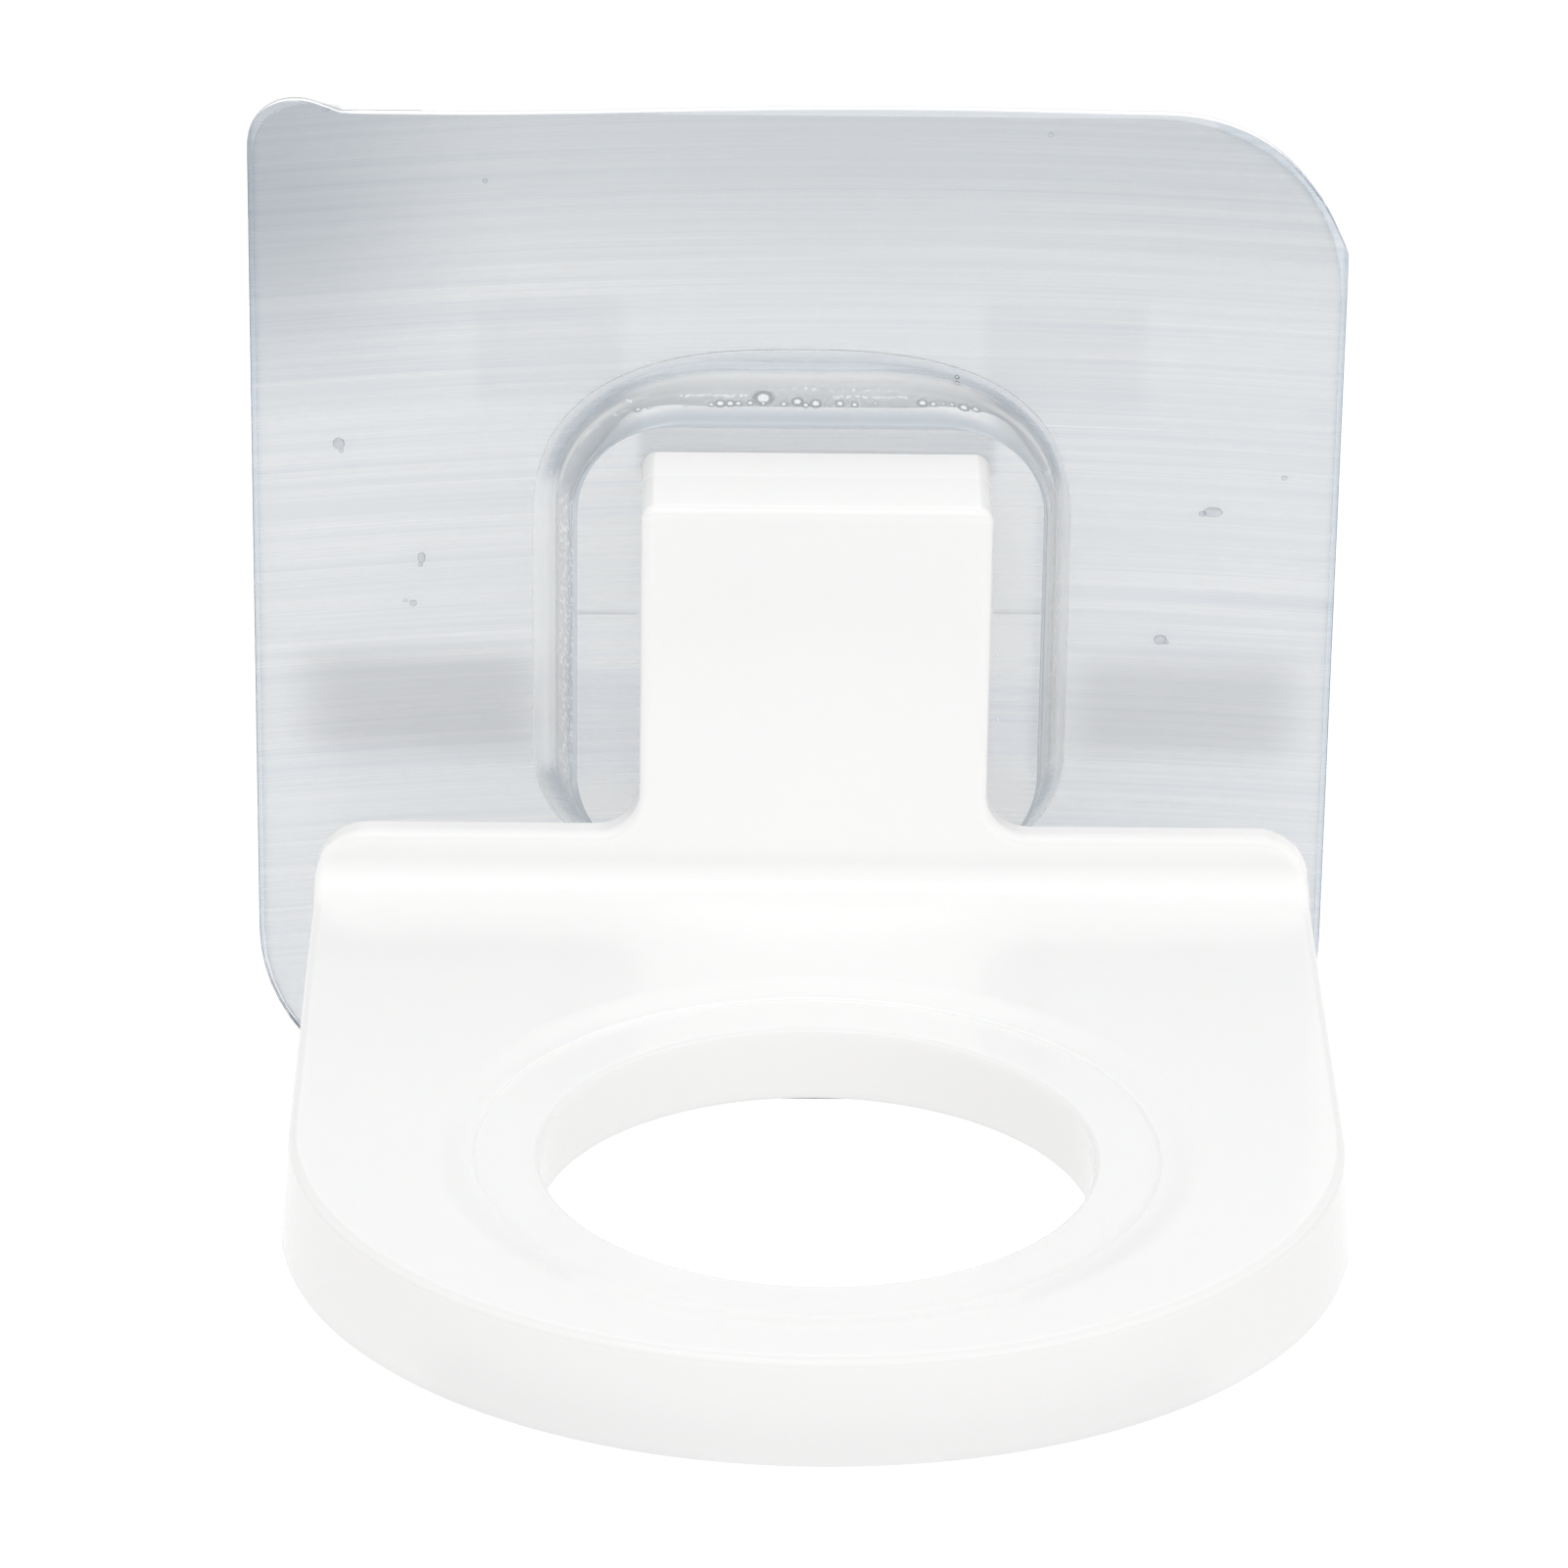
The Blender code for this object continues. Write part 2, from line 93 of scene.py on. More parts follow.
# Its corners at the face and at the foot: reach along X, reach along Z, and the curve's exponent
FACE_TOP_CORNER = np.array([7.0 * MM, 7.0 * MM, 2.0])
FOOT_TOP_CORNER = np.array([20.6 * MM, 15.0 * MM, 2.57])
FACE_LOW_CORNER = np.array([8.0 * MM, 8.0 * MM, 2.0])
FOOT_LOW_CORNER = np.array([9.0 * MM, 9.0 * MM, 2.0])

# Facing sheet
HALF_PAD = 42.48 * MM
SHEET_BACK = -0.3 * MM
# Its corners in millimetres as (x, z, radius), from the bottom left up the right and over the ear
PAD_CORNERS = (
    (-42.48, -42.1, 15.0), (42.28, -42.1, 11.5), (42.28, -30.0, 0.6), (42.48, -28.2, 0.6),
    (42.48, 31.3, 0.15), (37.5, 42.1, 14.5), (-35.3, 42.1, 0.6), (-37.9, 43.06, 4.0),
    (-42.48, 43.06, 3.6),
)

# Camera: a long lens that looks down on the object from the front
LENS = 186.524
SENSOR = 36.0
CAMERA_AT = np.array([-7.483, -588.378, 255.204]) * MM
CAMERA_PITCH, CAMERA_YAW, CAMERA_ROLL = 0.429967, 0.0116957, 0.0133855


def ease(t):
    """Smooth step from 0 to 1: t squared times (3 less 2 t)."""
    t = np.clip(t, 0.0, 1.0)
    return t * t * (3 - 2 * t)


def arc(cx, cy, radius, start, end, steps):
    """Points on a circle: the centre plus radius times (cosine, sine) of evenly spaced angles."""
    a = np.linspace(start, end, steps + 1)
    return np.stack([cx + radius * np.cos(a), cy + radius * np.sin(a)], 1)


def line(start, end, steps):
    """Even shares from one point to another, or row by row from one run of points to another:
    start times (1 less t) plus end times t."""
    start, end = np.asarray(start), np.asarray(end)
    t = np.linspace(0.0, 1.0, steps + 1).reshape([-1] + [1] * start.ndim)
    return start * (1 - t) + end * t


def chain(*parts):
    """Joins runs of points that each start where the one before ends, leaving out the repeats."""
    return np.concatenate([parts[0]] + [part[1:] for part in parts[1:]])


def strung(run, *more):
    """Joins runs of points that lie apart: each is followed by the steps of the straight line that
    leads to the next."""
    for steps, ahead in zip(more[::2], more[1::2]):
        run = chain(run, line(run[-1], ahead[0], steps), ahead)
    return run


def with_normals(runs):
    """Chains runs of points, each given with its normal's angle at its start and at its end, and
    even shares between. Gives the points and their normals."""
    angles = [np.linspace(first, last, len(run))[1:] for run, first, last in runs]
    angles = np.concatenate([[runs[0][1]]] + angles)
    return chain(*(run for run, _, _ in runs)), np.stack([np.cos(angles), np.sin(angles)], 1)


def grid_faces(rows, columns, closed=False):
    """Four-sided faces of a grid whose vertices are numbered row by row."""
    index = np.arange(rows * columns).reshape(rows, columns)
    if closed:
        index = np.concatenate([index, index[:, :1]], 1)
    corners = index[:-1, :-1], index[:-1, 1:], index[1:, 1:], index[1:, :-1]
    return np.stack(corners, -1).reshape(-1, 4)


def upright(plan, y):
    """Plane points (x, z) at a distance y."""
    return np.stack([plan[:, 0], np.full(len(plan), y), plan[:, 1]], 1)


def put(name, data):
    """An object in the scene with this data."""
    made = bpy.data.objects.new(name, data)
    bpy.context.scene.collection.objects.link(made)
    return made


class Skin:
    """Patches of vertices and faces that share their borders, welded into one closed mesh."""

    def __init__(self):
        self.points, self.faces, self.count = [], [], 0

    def patch(self, points, faces):
        points = np.asarray(points).reshape(-1, 3)
        self.points.append(points)
        if isinstance(faces, np.ndarray):
            faces = faces.tolist()
        self.faces += [[corner + self.count for corner in face] for face in faces]
        self.count += len(points)

    def grid(self, points, closed=False):
        self.patch(points, grid_faces(*points.shape[:2], closed))

    def flat(self, loop, y):
        """Fills a loop of points, all at a distance y, with triangles."""
        count = len(loop)
        edges = [(i, (i + 1) % count) for i in range(count)]
        points = [Vector(point) for point in loop[:, [0, 2]]]
        plan, _, faces, *_ = delaunay_2d_cdt(points, edges, [], 1, 1e-9)
        self.patch(upright(np.array([tuple(point) for point in plan]), y), faces)

    def caps(self, *loops):
        """Closes flat loops with one face each."""
        for loop in loops:
            self.patch(loop, [range(len(loop))])

    def piece(self, name, material, hollows=None):
        """One object of the patches. The hollows inside it are points, faces that already look
        inwards, and the faces' material numbers."""
        mesh = bpy.data.meshes.new(name)
        mesh.from_pydata(np.concatenate(self.points).tolist(), [], self.faces)
        solid = bmesh.new()
        solid.from_mesh(mesh)
        bmesh.ops.remove_doubles(solid, verts=solid.verts, dist=WELD)
        bmesh.ops.recalc_face_normals(solid, faces=solid.faces)
        if hollows:
            points, faces, finishes = hollows
            inner = bpy.data.meshes.new(name + "_hollows")
            inner.from_pydata(points.tolist(), [], faces.tolist())
            inner.materials.append(material)
            inner.polygons.foreach_set("material_index", finishes)
            solid.from_mesh(inner)
            bpy.data.meshes.remove(inner)
        solid.to_mesh(mesh)
        solid.free()
        mesh.shade_smooth()
        mesh.materials.append(material)
        return put(name, mesh)


# ---- holder ----

def developed(height):
    """Distance along the moulding's front, from the bend's start, to a height above the shelf."""
    return BEND * QUARTER + height - BEND


def front_side(flat, depth):
    """Flat points (x, along) laid on the moulding's front, so deep under its upper side: level,
    then a quarter turn of radius BEND plus the depth, then straight up."""
    along = flat[..., 1]
    angle = np.clip(along / BEND, 0.0, QUARTER)
    y = -BEND + np.minimum(along, 0.0) + (BEND + depth) * np.sin(angle)
    z = BEND + np.maximum(along - BEND * QUARTER, 0.0) - (BEND + depth) * np.cos(angle)
    return np.stack([flat[..., 0], y, z], -1)


def draft_at(z):
    """How far the skirt's outside leans out at a height: in proportion below the edge's round."""
    return SKIRT_DRAFT * np.clip((-z - EDGE) / (SKIRT_DEPTH - EDGE), 0.0, 1.0)


def plate_outline():
    """Right half of the apron and tongue, flat, as points (x, along) and outward normals.

    Lines and tangent arcs: side, apron corner, apron top, neck fillet, tongue side, tongue corner
    and tongue top. The last two values are how many points lie in the bend once the edge is taken
    off, and where the tongue's straight side starts.
    """
    top = developed(APRON_HEIGHT)
    tip = developed(TONGUE_HEIGHT)
    corner = top - APRON_CORNER
    turn = math.asin((BEND * QUARTER - corner) / (APRON_CORNER - EDGE))
    centre = (HALF_SHELF - APRON_CORNER, corner)
    neck = (HALF_TONGUE + NECK_FILLET, top + NECK_FILLET)
    tongue = (HALF_TONGUE - TONGUE_CORNER, tip - TONGUE_CORNER)
    runs = (
        (line((HALF_SHELF, 0.0), (HALF_SHELF, corner), 16), 0, 0),
        (arc(*centre, APRON_CORNER, 0.0, turn, 20), 0, turn),
        (arc(*centre, APRON_CORNER, turn, QUARTER, 18), turn, QUARTER),
        (line((centre[0], top), (neck[0], top), 14), QUARTER, QUARTER),
        (arc(*neck, NECK_FILLET, -QUARTER, -math.pi, 20), QUARTER, 0),
        (line((HALF_TONGUE, neck[1]), (HALF_TONGUE, tongue[1]), 20), 0, 0),
        (arc(*tongue, TONGUE_CORNER, 0.0, QUARTER, 12), 0, QUARTER),
        (line((tongue[0], tip), (0.0, tip), 12), QUARTER, QUARTER),
    )
    ends = np.cumsum([len(run) - 1 for run, _, _ in runs])
    return *with_normals(runs), ends[1] + 1, ends[4]


def mirrored(points, normals):
    """The right half followed by its mirror image, from the right end round to the left end."""
    flip = np.array([-1.0, 1.0])
    return [np.concatenate([part, (part * flip)[-2::-1]]) for part in (points, normals)]


SIDE_STEPS, NOSE_STEPS, BACK_STEPS = 36, 180, 72


def plan_loop(half, back, nose_length):
    """A loop seen from above: right side, nose, left side, and back line, with its normals.

    The nose is half an ellipse of half-width half and reach nose_length. The loop isn't closed on
    itself; its last point comes before its first.
    """
    side = line((half, back), (half, NOSE_START), SIDE_STEPS)
    a = np.linspace(0, math.pi, NOSE_STEPS + 1)
    nose = np.stack([half * np.cos(a), NOSE_START - nose_length * np.sin(a)], 1)
    normal = np.stack([np.cos(a) / half, -np.sin(a) / nose_length], 1)
    normal /= np.linalg.norm(normal, axis=1)[:, None]
    left = side[::-1] * [-1.0, 1.0]
    rear = line((-half, back), (half, back), BACK_STEPS)
    right_normal = np.tile([1.0, 0.0], (SIDE_STEPS, 1))
    rear_normal = np.tile([0.0, 1.0], (BACK_STEPS - 1, 1))
    points = chain(side, nose, left, rear)[:-1]
    return points, np.concatenate([right_normal, normal, -right_normal, rear_normal])


def seat_profile():
    """(radius, z) from the dish's rim in over the step and ring, down the hole, round the collar
    and out under the backing disc to the shelf's underside: an eased slope, then arcs joined by
    lines. An arc is its centre, its radius, the quarter turns it starts and ends at, and steps."""
    t = np.linspace(0, 1, 17)
    slope = SEAT_STEP - SEAT_DEPTH
    dish = np.stack([DISH + (SEAT + STEP_ROUND - DISH) * t, slope * ease(t)], 1)
    r, outer, disc = SMALL_ROUND, HOLE + COLLAR_WALL, SEAT + COLLAR_WALL
    under = -SHELF_THICKNESS - SEAT_DEPTH
    step, foot, rim, low_in, low_out, collar_top, disc_edge, disc_top = (
        arc(*centre, radius, first * QUARTER, last * QUARTER, steps)
        for centre, radius, first, last, steps in (
            ((SEAT + STEP_ROUND, slope - STEP_ROUND), STEP_ROUND, 1, 2, 4),
            ((SEAT - STEP_ROUND, STEP_ROUND - SEAT_DEPTH), STEP_ROUND, 0, -1, 4),
            ((HOLE + HOLE_EDGE, -SEAT_DEPTH - HOLE_EDGE), HOLE_EDGE, 1, 2, 8),
            ((HOLE + r, r - COLLAR_DEPTH), r, 2, 3, 6),
            ((outer - r, r - COLLAR_DEPTH), r, -1, 0, 6),
            ((outer + r, under - r), r, 2, 1, 6),
            ((disc - r, under + r), r, -1, 0, 6),
            ((disc + r, -SHELF_THICKNESS - r), r, 2, 1, 6),
        )
    )
    return strung(chain(dish, step), 1, foot, 5, rim, 10, low_in, 3, low_out, 6, collar_top,
                  5, disc_edge, 1, disc_top)


def at_height(plan, z):
    """Plane points (x, y) with a height added."""
    return np.concatenate([plan, np.broadcast_to(z, (len(plan), 1))], 1)


LEG_STEPS = 16


def root_outline(tongue, tongue_n):
    """The root's arch as (x, z) with normals, the radius of its back edge, and how many points lie
    on its outside.

    Right leg up, the tongue's own outline over to the left, left leg down, then the inside of the
    arch back up, over and down.
    """
    side, neck = tongue[0]
    inner = HALF_TONGUE - ROOT_WALL
    top = TONGUE_HEIGHT - ROOT_WALL
    f = ROOT_FILLET
    outside = chain(
        line((HALF_TONGUE, ROOT_TOE), (side, neck), LEG_STEPS), tongue,
        line((-side, neck), (-HALF_TONGUE, ROOT_TOE), LEG_STEPS),
    )
    right = np.tile([1.0, 0.0], (LEG_STEPS, 1))
    inside, turned_in = with_normals((
        (line((-inner, ROOT_TOE), (-inner, top - f), 24), 0, 0),
        (arc(f - inner, top - f, f, math.pi, QUARTER, 6), 0, -QUARTER),
        (line((f - inner, top), (inner - f, top), 16), -QUARTER, -QUARTER),
        (arc(inner - f, top - f, f, QUARTER, 0, 6), -QUARTER, -math.pi),
        (line((inner, top - f), (inner, ROOT_TOE), 24), math.pi, math.pi),
    ))
    normals = np.concatenate([right, tongue_n, -right, turned_in])
    radius = np.repeat([ROOT_BACK_ROUND, SMALL_ROUND], [len(outside), len(inside)])
    return np.concatenate([outside, inside]), normals, radius, len(outside)


def root_rows(points, normals, radius):
    """The arch carried back from the plate, its toes rising, and its back edge rounded.

    A row at distance y keeps each point, except that none is lower than the toe's slope, and in the
    last stretch moves inwards by radius times (1 less the cosine of the angle turned).
    """
    rows = []
    straight = [(y, 0.0) for y in np.linspace(PLATE, ROOT_BACK - ROOT_BACK_ROUND, 9)]
    turned = [(ROOT_BACK, turn) for turn in np.linspace(0, QUARTER, 9)[1:]]
    for y, turn in straight + turned:
        depth = np.minimum(y, ROOT_BACK - radius * (1 - math.sin(turn)))
        plane = points - normals * (radius * (1 - math.cos(turn)))[:, None]
        toe = ROOT_TOE + (ROOT_HEEL - ROOT_TOE) * (depth - PLATE) / (ROOT_BACK - PLATE)
        rows.append(np.stack([plane[:, 0], depth, np.maximum(plane[:, 1], toe)], 1))
    return np.array(rows)


def make_holder(material):
    """The white moulding: shelf, seat, skirt, bend, apron, tongue and root in one closed mesh."""
    skin = Skin()
    *half, bend_rows, neck = plate_outline()
    plate, plate_n = mirrored(*half)
    turn = np.linspace(0, QUARTER, 9)
    inset = EDGE * (1 - np.sin(turn))
    depth = EDGE * (1 - np.cos(turn))

    # The front edge's round on apron and tongue, then their sides to the back plane
    rim = [front_side(plate - plate_n * d, h) for d, h in zip(inset, depth)]
    corner = developed(APRON_HEIGHT) - APRON_CORNER
    start = corner - BEND * QUARTER + BEND
    low = np.where(
        plate[:, 1] < corner,
        -SKIRT_DEPTH + (start + SKIRT_DEPTH) * plate[:, 1] / corner,
        start + plate[:, 1] - corner,
    )
    back_edge = upright(np.stack([plate[:, 0], low], 1), PLATE)
    sides = line(rim[-1], back_edge, 10)
    sides[:, :, 0] = plate[:, 0] + plate_n[:, 0] * draft_at(sides[:, :, 2])
    skin.grid(chain(np.array(rim), sides))
    back_edge = sides[-1]

    # The top of the shelf with its edge round, and the skirt's outside
    plan, plan_n = plan_loop(HALF_SHELF, -BEND, NOSE_LENGTH)
    count = len(plan)
    last = SIDE_STEPS * 2 + NOSE_STEPS
    outer = np.arange(last + 1)
    rows = [at_height(plan[outer] - plan_n[outer] * d, -h) for d, h in zip(inset, depth)]
    foot_y = np.where(
        plan[:, 1] > NOSE_START,
        NOSE_START + (plan[:, 1] - NOSE_START) * (PLATE - NOSE_START) / (-BEND - NOSE_START),
        plan[:, 1],
    )
    foot = at_height(np.stack([plan[:, 0], foot_y], 1), -SKIRT_DEPTH)
    wall = line(rows[-1], foot[outer], 10)
    wall[:, :, :2] += plan_n[None, outer] * draft_at(wall[:, :, 2])[:, :, None]
    skin.grid(chain(np.array(rows), wall))

    # Seat, hole, collar and underside as one run of loops about the hole
    inner = plan - plan_n * EDGE
    rear = np.arange(last, count)
    inner[rear] = line((-HALF_SHELF + EDGE, -BEND), (HALF_SHELF - EDGE, -BEND), BACK_STEPS)[:-1]
    angle = np.arctan2(inner[:, 1] - HOLE_Y, inner[:, 0])
    profile = seat_profile()
    ring = np.stack([
        profile[:, :1] * np.cos(angle), HOLE_Y + profile[:, :1] * np.sin(angle),
        np.broadcast_to(profile[:, 1:], (len(profile), count)),
    ], 2)
    hollow, _ = plan_loop(HALF_SHELF - SKIRT_WALL, 0.0, NOSE_LENGTH - SKIRT_WALL)
    ceiling = at_height(hollow, -SHELF_THICKNESS)
    mouth = at_height(hollow, -SKIRT_DEPTH)
    foot_loop = foot.copy()
    foot_loop[:, :2] += plan_n * SKIRT_DRAFT
    wide = HALF_SHELF + SKIRT_DRAFT
    foot_loop[rear, :2] = line((-wide, PLATE), (wide, PLATE), BACK_STEPS)[:-1]
    skin.grid(chain(
        line(at_height(inner, 0.0), ring[0], 8), ring, line(ring[-1], ceiling, 6),
        line(ceiling, mouth, 6), line(mouth, foot_loop, 3),
    ), closed=True)

    # The bend: straight rows across, as wide as the outline once the edge round is taken off
    width, along = (plate[:bend_rows] - plate_n[:bend_rows] * EDGE).T
    share = np.linspace(-1, 1, BACK_STEPS + 1)
    across = np.outer(width, share)
    bend = front_side(np.stack([across, np.repeat(along[:, None], len(share), 1)], 2), 0.0)
    skin.grid(bend)

    # The flat face of apron and tongue
    face = rim[0][bend_rows - 1:len(plate) - bend_rows + 1]
    loop = np.concatenate([face, bend[-1][1:-1]])
    skin.flat(loop, 0.0)

    # The root, flush with the tongue, its back, and the back plane round its legs
    tongue = slice(neck, len(plate) - neck)
    arch, arch_n, arch_r, outside = root_outline(back_edge[tongue][:, [0, 2]], plate_n[tongue])
    rows = root_rows(arch, arch_n, arch_r)
    skin.grid(rows, closed=True)
    skin.flat(rows[-1], ROOT_BACK)
    bottom = np.concatenate([foot_loop[rear], foot_loop[:1]])
    loop = np.concatenate([
        back_edge[:neck + 1], rows[0][:LEG_STEPS][::-1], rows[0][outside:][::-1],
        rows[0][outside - LEG_STEPS:outside][::-1], back_edge[len(plate) - neck - 1:], bottom[1:-1],
    ])
    skin.flat(loop, PLATE)

    for points in skin.points:
        points += HOLDER_AT
    holder = skin.piece("ring_shelf_moulding", material)
    bevel = holder.modifiers.new("edge_round", "BEVEL")
    bevel.limit_method = "ANGLE"
    bevel.angle_limit = math.radians(50)
    bevel.width = 0.2 * MM
    bevel.segments = 3
    bevel.use_clamp_overlap = True
    even_normals(holder)
    return holder


def even_normals(piece):
    """Weights a piece's normals by its faces' areas, so that flat faces stay flat."""
    weighted = piece.modifiers.new("even_normals", "WEIGHTED_NORMAL")
    weighted.mode = "FACE_AREA"
    weighted.weight = 50
    weighted.keep_sharp = True


# ---- materials ----

def grey(share):
    """A colour with the same share of red, green and blue."""
    return (share, share, share, 1)


WHITE = grey(1)


class Nodes:
    """Short ways to add and link nodes. A value is a number, a colour, a vector or another node's
    socket; in an input's name, _ stands for a space."""

    def __init__(self, tree):
        self.tree = tree

    def fill(self, socket, value):
        if isinstance(value, bpy.types.NodeSocket):
            self.tree.links.new(value, socket)
        else:
            socket.default_value = value

    def feed(self, node, **inputs):
        for label, value in inputs.items():
            self.fill(node.inputs[label.replace("_", " ")], value)
        return node

    def add(self, kind, **inputs):
        return self.feed(self.tree.nodes.new("ShaderNode" + kind), **inputs)

    def between(self, fac, low, high, kind="RGBA", blend="MIX"):
        """From low to high by the factor, for colours or, with FLOAT, for numbers."""
        node = self.add("Mix")
        node.data_type = kind
        node.blend_type = blend
        sockets = [socket for socket in node.inputs if socket.enabled]
        for socket, value in zip(sockets, (fac, low, high)):
            self.fill(socket, value)
        return next(socket for socket in node.outputs if socket.enabled)

    def shaded(self, colour, by):
        """A colour times another."""
        return self.between(1.0, colour, by, blend="MULTIPLY")

    def tint(self, share, *colour):
        """White at a share of 0 and the colour at 1; one number stands for a grey."""
        return self.between(share, WHITE, (*(colour * 3)[:3], 1))

    def numbers(self, vector):
        """A vector's three numbers, by the names X, Y and Z."""
        return self.add("SeparateXYZ", Vector=vector).outputs

    def ramp(self, value, start, end, low=0.0, high=1.0, way="SMOOTHSTEP"):
        """Low to high as the value goes from start to end."""
        node = self.add("MapRange", Value=value, From_Min=start, From_Max=end, To_Min=low,
                        To_Max=high)
        node.interpolation_type = way
        return node.outputs["Result"]

    def rise(self, length, start, end):
        """0 to 1 as a length goes from start to end, which are in millimetres."""
        return self.ramp(length, start * MM, end * MM)

    def inside(self, length, low, high, soft):
        """1 from low to high and 0 beyond, with a soft border so wide on both sides of each."""
        return self.times(self.rise(length, low - soft, low + soft),
                          self.rise(length, high + soft, high - soft))

    def math(self, kind, first, second=0.0):
        node = self.add("Math")
        node.operation = kind
        for socket, value in zip(node.inputs, (first, second)):
            self.fill(socket, value)
        return node.outputs[0]

    def times(self, first, second):
        return self.math("MULTIPLY", first, second)

    def plus(self, first, second):
        return self.math("ADD", first, second)

    def distance(self, x, y):
        """How far (x, y) is from nought."""
        node = self.add("VectorMath", Vector=self.add("CombineXYZ", X=x, Y=y).outputs["Vector"])
        node.operation = "LENGTH"
        return node.outputs["Value"]


class Finish(Nodes):
    """The nodes of one material: its shader, its surface's place and the way it faces."""

    def __init__(self, name):
        self.material = bpy.data.materials.new(name)
        self.material.use_nodes = True
        super().__init__(self.material.node_tree)
        self.shader = self.tree.nodes["Principled BSDF"]
        where = self.add("TexCoord").outputs
        self.place, self.turned = where["Object"], where["Normal"]

    def set(self, **inputs):
        """Gives the shader's own inputs their values."""
        self.feed(self.shader, **inputs)

    def noise(self, scale, detail=3.0, roughness=0.5, stretch=None):
        source = self.place
        if stretch:
            source = self.add("Mapping", Vector=self.place, Scale=stretch).outputs["Vector"]
        node = self.add("TexNoise", Vector=source, Scale=scale, Detail=detail, Roughness=roughness)
        return node.outputs["Fac"]

    def bump(self, height, strength, distance):
        node = self.add("Bump", Height=height, Strength=strength, Distance=distance)
        self.set(Normal=node.outputs["Normal"])


def white_plastic():
    """Glossy white moulding: faint flow mottling, a trace of orange peel, softly translucent.

    Painted shade makes it a little less white on the shelf's level top, which the light from above
    falls on most, low on the skirt, and on rounded edges and in the bend, where it tones down their
    highlights; painted light makes it whitest on the tongue's top. The tip, the bend and the
    rounded edges are less glossy, and the root, which the clear block holds, is matt.
    """
    n = Finish("glossy_white_plastic")
    n.set(IOR=1.52, Subsurface_Weight=0.12, Subsurface_Scale=0.0012,
          Subsurface_Radius=(1.0, 0.8, 0.55))
    mottle = n.noise(60.0, 4.0, 0.55)
    colour = n.between(mottle, (0.942, 0.942, 0.932, 1), (0.958, 0.958, 0.952, 1))
    x, y, z = n.numbers(n.place)
    up = n.numbers(n.turned)["Z"]
    # Painted shade: the shelf's level top, lit most from above, and the skirt's low front are drawn
    # less white
    level = n.times(n.rise(z, -15.6, -16.4), n.ramp(up, 0.5, 0.95))
    level = n.times(level, n.ramp(y, -18 * MM, -27 * MM, 0.5, 1.0))
    low = n.times(n.rise(z, -18, -24), n.rise(y, -79.5, -84))
    # Painted light: the tongue's up-facing top is drawn whiter than white
    at_tip = n.rise(z, 14.2, 15)
    tip = n.between(at_tip, WHITE, n.tint(n.ramp(up, 0.9, 0.99), 1.05))
    away = n.distance(n.plus(x, -HOLDER_AT[0]), n.plus(y, -HOLDER_AT[1] - HOLE_Y))
    seat = n.times(n.rise(away, 21.2, 22), n.rise(away, 31, 30))
    # Painted shade on the bend and on rounded edges away from the seat, toning down their
    # highlights
    bend = n.times(n.rise(y, -20.5, -17.5), n.rise(z, -12.6, -13.8))
    smooth = n.math("MAXIMUM", seat, bend)
    rounded = n.times(n.ramp(up, 0.1, 0.35), n.ramp(up, 0.995, 0.96))
    rounded = n.times(rounded, n.ramp(smooth, 0.0, 1.0, 1.0, 0.0, "LINEAR"))
    for tint in (n.tint(level, 0.925, 0.925, 0.93), n.tint(low, 0.94, 0.94, 0.945), tip,
                 n.tint(rounded, 0.925), n.tint(bend, 0.972)):
        colour = n.shaded(colour, tint)
    dull = n.math("MAXIMUM", n.math("MAXIMUM", rounded, at_tip), bend)
    gloss = n.ramp(y, -9.3 * MM, -8.9 * MM, 0.5, 0.0)
    gloss = n.times(gloss, n.ramp(dull, 0.0, 1.0, 1.0, 0.3, "LINEAR"))
    rough = n.between(n.noise(240.0, 3.0), 0.10, 0.17, "FLOAT")
    n.set(Base_Color=colour, Specular_IOR_Level=gloss, Roughness=rough)
    n.bump(n.noise(900.0, 2.0), 0.05, 0.00004)
    return n.material


# How much red the block's wall keeps by height above the sheet, in millimetres: along its top,
# round its corners, and down its sides; then how much of that its left and right sides keep. These
# are painted shade and reflection: the dark bands along the flare and the face's edge, the light
# ridge round the corners, and the left side lighter than the right.
TOP_WALL = (
    (-0.2, 1.0), (0.12, 0.82), (0.22, 0.73), (0.35, 0.62), (0.53, 0.56), (0.77, 0.62), (1.06, 0.80),
    (1.4, 0.94), (1.95, 0.97), (2.5, 0.90), (3.0, 0.83), (3.6, 0.89), (4.1, 0.84), (5.2, 0.86),
    (5.9, 0.66), (6.3, 0.56), (6.8, 0.49), (7.5, 0.47), (7.8, 0.60),
)
CORNER_WALL = (
    (-0.2, 1.0), (0.12, 0.86), (0.35, 0.60), (0.8, 0.52), (1.6, 0.58), (2.1, 0.75), (2.35, 1.0),
    (2.9, 1.0), (3.3, 0.72), (5.5, 0.64), (7.0, 0.52), (7.8, 0.52),
)
SIDE_WALL = (
    (-0.2, 0.95), (1.0, 0.96), (1.9, 1.0), (2.2, 0.73), (3.0, 0.72), (3.7, 0.88), (5.4, 0.93),
    (6.2, 0.82), (7.0, 0.69), (7.8, 0.58),
)
LEFT_WALL, RIGHT_WALL = 1.08, 0.86


def colour_stops(n, share, stops):
    """A ramp through (place, red, green, blue) stops; the share is 0 at the first's place and 1 at
    the last's."""
    node = n.add("ValToRGB", Fac=share)
    first, last = stops[0][0], stops[-1][0]
    elements = node.color_ramp.elements
    elements.remove(elements[1])
    for place, *colour in stops:
        stop = elements[0] if place == first else elements.new((place - first) / (last - first))
        stop.color = (*colour, 1)
    return node.outputs["Color"]


def wall_colour(n, height, stops):
    """A ramp of blue-greys over the block's height, each bluer the darker it is."""
    return colour_stops(n, height, [
        (place, red, red + 0.11 * (1 - red), red + 0.22 * (1 - red)) for place, red in stops
    ])


